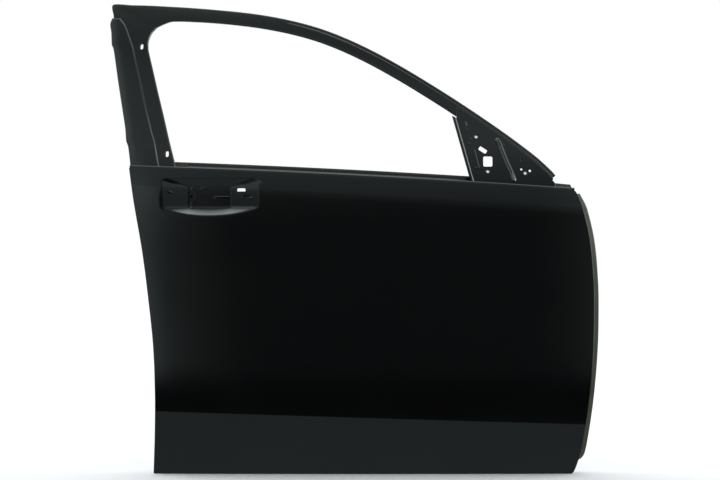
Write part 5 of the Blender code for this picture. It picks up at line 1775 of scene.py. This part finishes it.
@dataclass
class Studio:
    """Pale floor, soft white light all round and the camera of the photograph."""

    camera_place: tuple[float, float, float] = (-0.5535, -7.076, -0.0242)
    lens_mm: float = 142.9
    sensor_mm: float = 36.0
    floor_z: float = -0.6005
    floor_half: float = 60.0
    # Soft light in front of the door and behind it, and over which depth of the ray it changes
    soft_light: Pair = (0.58, 1.70)
    soft_turn: Pair = (-0.05, 0.05)
    # Where the mirrored room gives way to the white sweep behind the door, and how bright that is
    mirror_turn: Pair = (-0.05, 0.10)
    sweep_foot: Pair = (-0.7, 0.1)
    sweep_tones: Pair = (0.45, 1.0)
    # Heights of the ray over which the side walls rise and end, and the high lamps begin
    wall_foot: Pair = (-0.165, -0.085)
    wall_top: Pair = (0.45, 0.62)
    lamp_foot: Pair = (0.42, 0.60)
    paint_tint: tuple[float, float, float, float] = (0.85, 1.0, 0.985, 1.0)
    # Brightness of the mirrored room: its front by the height of the ray, its left and right walls and
    # its high lamps by how far the ray turns sideways
    front_tones: Curve = (
        (-1.0, 0.42), (-0.385, 0.40), (-0.216, 0.020), (-0.14, 0.020), (-0.11, 0.055), (0.226, 0.060),
        (0.244, 0.085), (0.262, 0.105), (0.28, 0.125), (0.37, 0.165), (0.49, 0.27), (0.535, 0.40),
        (0.60, 0.62), (0.66, 0.60), (0.76, 0.52), (0.80, 0.42), (0.85, 0.50), (0.90, 1.50), (0.95, 3.20),
        (1.0, 5.20),
    )
    left_tones: Curve = (
        (0.097, 0.0), (0.119, 0.08), (0.131, 0.115), (0.149, 0.125), (0.153, 0.18), (0.156, 0.35),
        (0.159, 0.72), (0.170, 1.05), (0.195, 0.45), (0.30, 0.15), (0.45, 0.22), (0.84, 0.22),
        (0.90, 7.00), (1.0, 8.00),
    )
    left_shift: Curve = ((-0.10, 0.009), (0.17, 0.0), (0.26, 0.006), (0.45, 0.010))
    right_tones: Curve = (
        (0.131, 0.0), (0.154, 0.015), (0.169, 0.08), (0.180, 0.195), (0.20, 0.27), (0.30, 0.24),
        (0.50, 0.26), (0.66, 0.28), (0.72, 10.0), (1.0, 12.0),
    )
    high_tones: Curve = (
        (0.16, 0.0), (0.22, 0.45), (0.40, 0.80), (0.70, 2.00), (1.0, 3.00),
    )

    def curve(
        self, tree: bpy.types.NodeTree, value: bpy.types.NodeSocket, tones: Curve,
    ) -> bpy.types.NodeSocket:
        """Brightness read from a list of tones.

        Args:
            tree: Tree that takes the nodes.
            value: What the tones are read by.
            tones: (value, brightness) points, in order.

        Returns:
            The brightness.
        """
        low, high = tones[0][0], tones[-1][0]
        share = add_node(tree, "ShaderNodeMapRange", {}, span_values((low, high)), {"Value": value})
        ramp = add_node(tree, "ShaderNodeValToRGB", {}, {}, {"Fac": share.outputs["Result"]})
        stops = ramp.color_ramp.elements
        for place, tone in tones[1:-1]:
            stop = stops.new((place - low) / (high - low))
            stop.color = (tone, tone, tone, 1.0)
        stops[0].color = (tones[0][1],) * 3 + (1.0,)
        stops[-1].color = (tones[-1][1],) * 3 + (1.0,)
        return ramp.outputs["Color"]

    def light(self) -> None:
        """Soft light: bright behind the door, and a darker room with pale walls in front of it."""
        world = bpy.data.worlds.new("soft_studio")
        bpy.context.scene.world = world
        world.use_nodes = True
        tree = world.node_tree
        tree.nodes.clear()
        direction = add_node(tree, "ShaderNodeTexCoord").outputs["Generated"]
        axes = add_node(tree, "ShaderNodeSeparateXYZ", {}, {}, {"Vector": direction}).outputs
        front = self.curve(tree, axes["Z"], self.front_tones)
        # The left wall leans, so that its edge stands further out at the height of the handle
        lean = self.curve(tree, axes["Z"], self.left_shift)
        left = add_node(tree, "ShaderNodeMath", {"operation": "SUBTRACT"}, {}, {0: lean, 1: axes["X"]})
        left_side = self.curve(tree, left.outputs[0], self.left_tones)
        right_side = self.curve(tree, axes["X"], self.right_tones)
        sides = add_node(
            tree, "ShaderNodeMath", {"operation": "ADD"}, {}, {0: left_side, 1: right_side},
        )
        # The pale walls at both sides show only in the middle heights
        above = add_node(
            tree, "ShaderNodeMapRange", {"interpolation_type": "SMOOTHSTEP"},
            span_values(self.wall_foot), {"Value": axes["Z"]},
        )
        below = add_node(
            tree, "ShaderNodeMapRange", {"interpolation_type": "SMOOTHSTEP"},
            span_values(self.wall_top, (1.0, 0.0)), {"Value": axes["Z"]},
        )
        band = add_node(
            tree, "ShaderNodeMath", {"operation": "MULTIPLY"}, {},
            {0: above.outputs["Result"], 1: below.outputs["Result"]},
        )
        walls = add_node(
            tree, "ShaderNodeMath", {"operation": "MULTIPLY"}, {},
            {0: sides.outputs[0], 1: band.outputs[0]},
        )
        # Two long lamps high up at both sides draw the light lines along steps and beads of the frame
        across = add_node(tree, "ShaderNodeMath", {"operation": "ABSOLUTE"}, {}, {0: axes["X"]})
        lamps = self.curve(tree, across.outputs[0], self.high_tones)
        high = add_node(
            tree, "ShaderNodeMapRange", {"interpolation_type": "SMOOTHSTEP"},
            span_values(self.lamp_foot), {"Value": axes["Z"]},
        )
        room = add_node(tree, "ShaderNodeMath", {"operation": "ADD"}, {}, {0: front, 1: walls.outputs[0]})
        room = add_node(
            tree, "ShaderNodeMath", {"operation": "MULTIPLY_ADD"}, {},
            {0: lamps, 1: high.outputs["Result"], 2: room.outputs[0]},
        )
        # Behind the door the white sweep is bright above the floor line and dimmer below it
        sweep = add_node(
            tree, "ShaderNodeMapRange", {"interpolation_type": "SMOOTHSTEP"},
            span_values(self.sweep_foot, self.sweep_tones), {"Value": axes["Z"]},
        )
        behind = add_node(
            tree, "ShaderNodeMapRange", {"interpolation_type": "SMOOTHSTEP"},
            span_values(self.mirror_turn), {"Value": axes["Y"]},
        )
        mirror = add_node(
            tree, "ShaderNodeMix", {"data_type": "FLOAT"}, {},
            {"Factor": behind.outputs["Result"], "A": room.outputs[0], "B": sweep.outputs["Result"]},
        )
        soft = add_node(
            tree, "ShaderNodeMapRange", {}, span_values(self.soft_turn, self.soft_light),
            {"Value": axes["Y"]},
        )
        ray = add_node(tree, "ShaderNodeLightPath").outputs
        seen = add_node(
            tree, "ShaderNodeMix", {"data_type": "FLOAT"}, {},
            {
                "Factor": ray["Is Glossy Ray"], "A": soft.outputs["Result"],
                "B": mirror.outputs["Result"],
            },
        )
        level = add_node(
            tree, "ShaderNodeMix", {"data_type": "FLOAT"}, {"B": 1.0},
            {"Factor": ray["Is Camera Ray"], "A": seen.outputs["Result"]},
        )
        # Pale walls and lamps look slightly green-blue in the paint, the backdrop stays white
        tint = add_node(
            tree, "ShaderNodeMix", {"data_type": "RGBA"},
            {6: (1.0, 1.0, 1.0, 1.0), 7: self.paint_tint}, {0: ray["Is Glossy Ray"]},
        )
        shine = add_node(
            tree, "ShaderNodeBackground", {}, {},
            {"Color": tint.outputs[2], "Strength": level.outputs["Result"]},
        )
        add_node(tree, "ShaderNodeOutputWorld", {}, {}, {"Surface": shine.outputs["Background"]})
        bpy.context.scene.view_settings.view_transform = "Standard"

    def floor(self) -> bpy.types.Object:
        """Makes the painted floor: matt white board with a faint cloudy tone."""
        mesh = bmesh.new()
        bmesh.ops.create_grid(mesh, x_segments=8, y_segments=8, size=self.floor_half)
        bmesh.ops.translate(mesh, vec=(0.0, 0.0, self.floor_z), verts=mesh.verts[:])
        board = new_piece("studio_floor", mesh)
        board.visible_glossy = False
        material, shader = blank_material("white_painted_floor")
        tree = material.node_tree
        place = add_node(tree, "ShaderNodeTexCoord").outputs["Object"]
        cloud = add_node(tree, "ShaderNodeTexNoise", {}, {"Scale": 3.0, "Detail": 2.0}, {"Vector": place})
        mixed = add_node(
            tree, "ShaderNodeMix", {"data_type": "RGBA"},
            {6: hex_linear("#F7FAFC"), 7: hex_linear("#F4F8FB")}, {0: cloud.outputs["Fac"]},
        )
        tree.links.new(mixed.outputs[2], shader.inputs["Base Color"])
        shader.inputs["Roughness"].default_value = 0.9
        shader.inputs["Specular IOR Level"].default_value = 0.0
        board.data.materials.append(material)
        return board

    def camera(self) -> None:
        """Sets the camera level in front of the door, at the height of its middle."""
        data = bpy.data.cameras.new("studio_camera")
        data.lens = self.lens_mm
        data.sensor_width = self.sensor_mm
        data.clip_end = 200.0
        camera = bpy.data.objects.new("studio_camera", data)
        camera.location = self.camera_place
        camera.rotation_euler = (math.radians(90), 0.0, 0.0)
        bpy.context.scene.collection.objects.link(camera)
        bpy.context.scene.camera = camera

    def build(self) -> None:
        """Makes the light, the floor and the camera."""
        self.light()
        self.floor()
        self.camera()


def main() -> None:
    """Builds the door shell piece by piece and sets the studio."""
    Studio().build()
    gloss = ElectroCoat("black_electro_coat_gloss", "#060607", "#0D0D0E", (0.075, 0.11)).make()
    satin = ElectroCoat("black_electro_coat_satin", "#070708", "#101011", (0.16, 0.24)).make()
    primed = ElectroCoat("grey_electro_coat_dull", "#3C3A2F", "#474538", (0.30, 0.42)).make()
    zinc = ZincPlate().make()
    pads = Mastic("mastic_baked_grey", "#33332F", "#454540").make()
    sealer = Mastic("hem_sealer_coated", "#121213", "#1B1B1C", 2.4, 0.08).make()
    side = BodySide()
    window = WindowFrame(side)
    panel = InnerPanel(side)
    settle(DoorSkin(side).build(), gloss, Slot.COAT, "outer_panel")
    for node, piece in window.build().items():
        settle(piece, gloss if node == "window_frame_outer" else primed, Slot.COAT, node)
    settle(PillarPlate(window).build(), gloss, Slot.COAT, "pillar_reinforcement")
    settle(MirrorCorner(side).build(), gloss, Slot.COAT, "mirror_reinforcement")
    for node, piece in GlassGuides(side).build().items():
        settle(piece, gloss, Slot.COAT, node)
    settle(panel.build(), primed, Slot.COAT, "inner_panel")
    for node, piece in Reinforcements(side).build().items():
        settle(piece, satin, Slot.COAT, node)
    marks = WeldsAndSealer(side, panel, window)
    settle(marks.welds(), satin, Slot.COAT)
    settle(marks.sealer(), sealer, Slot.MASTIC)
    log.info("packed solids dressed: %d", Hardware().dress(satin, zinc, pads))


if __name__ == "__main__":
    main()
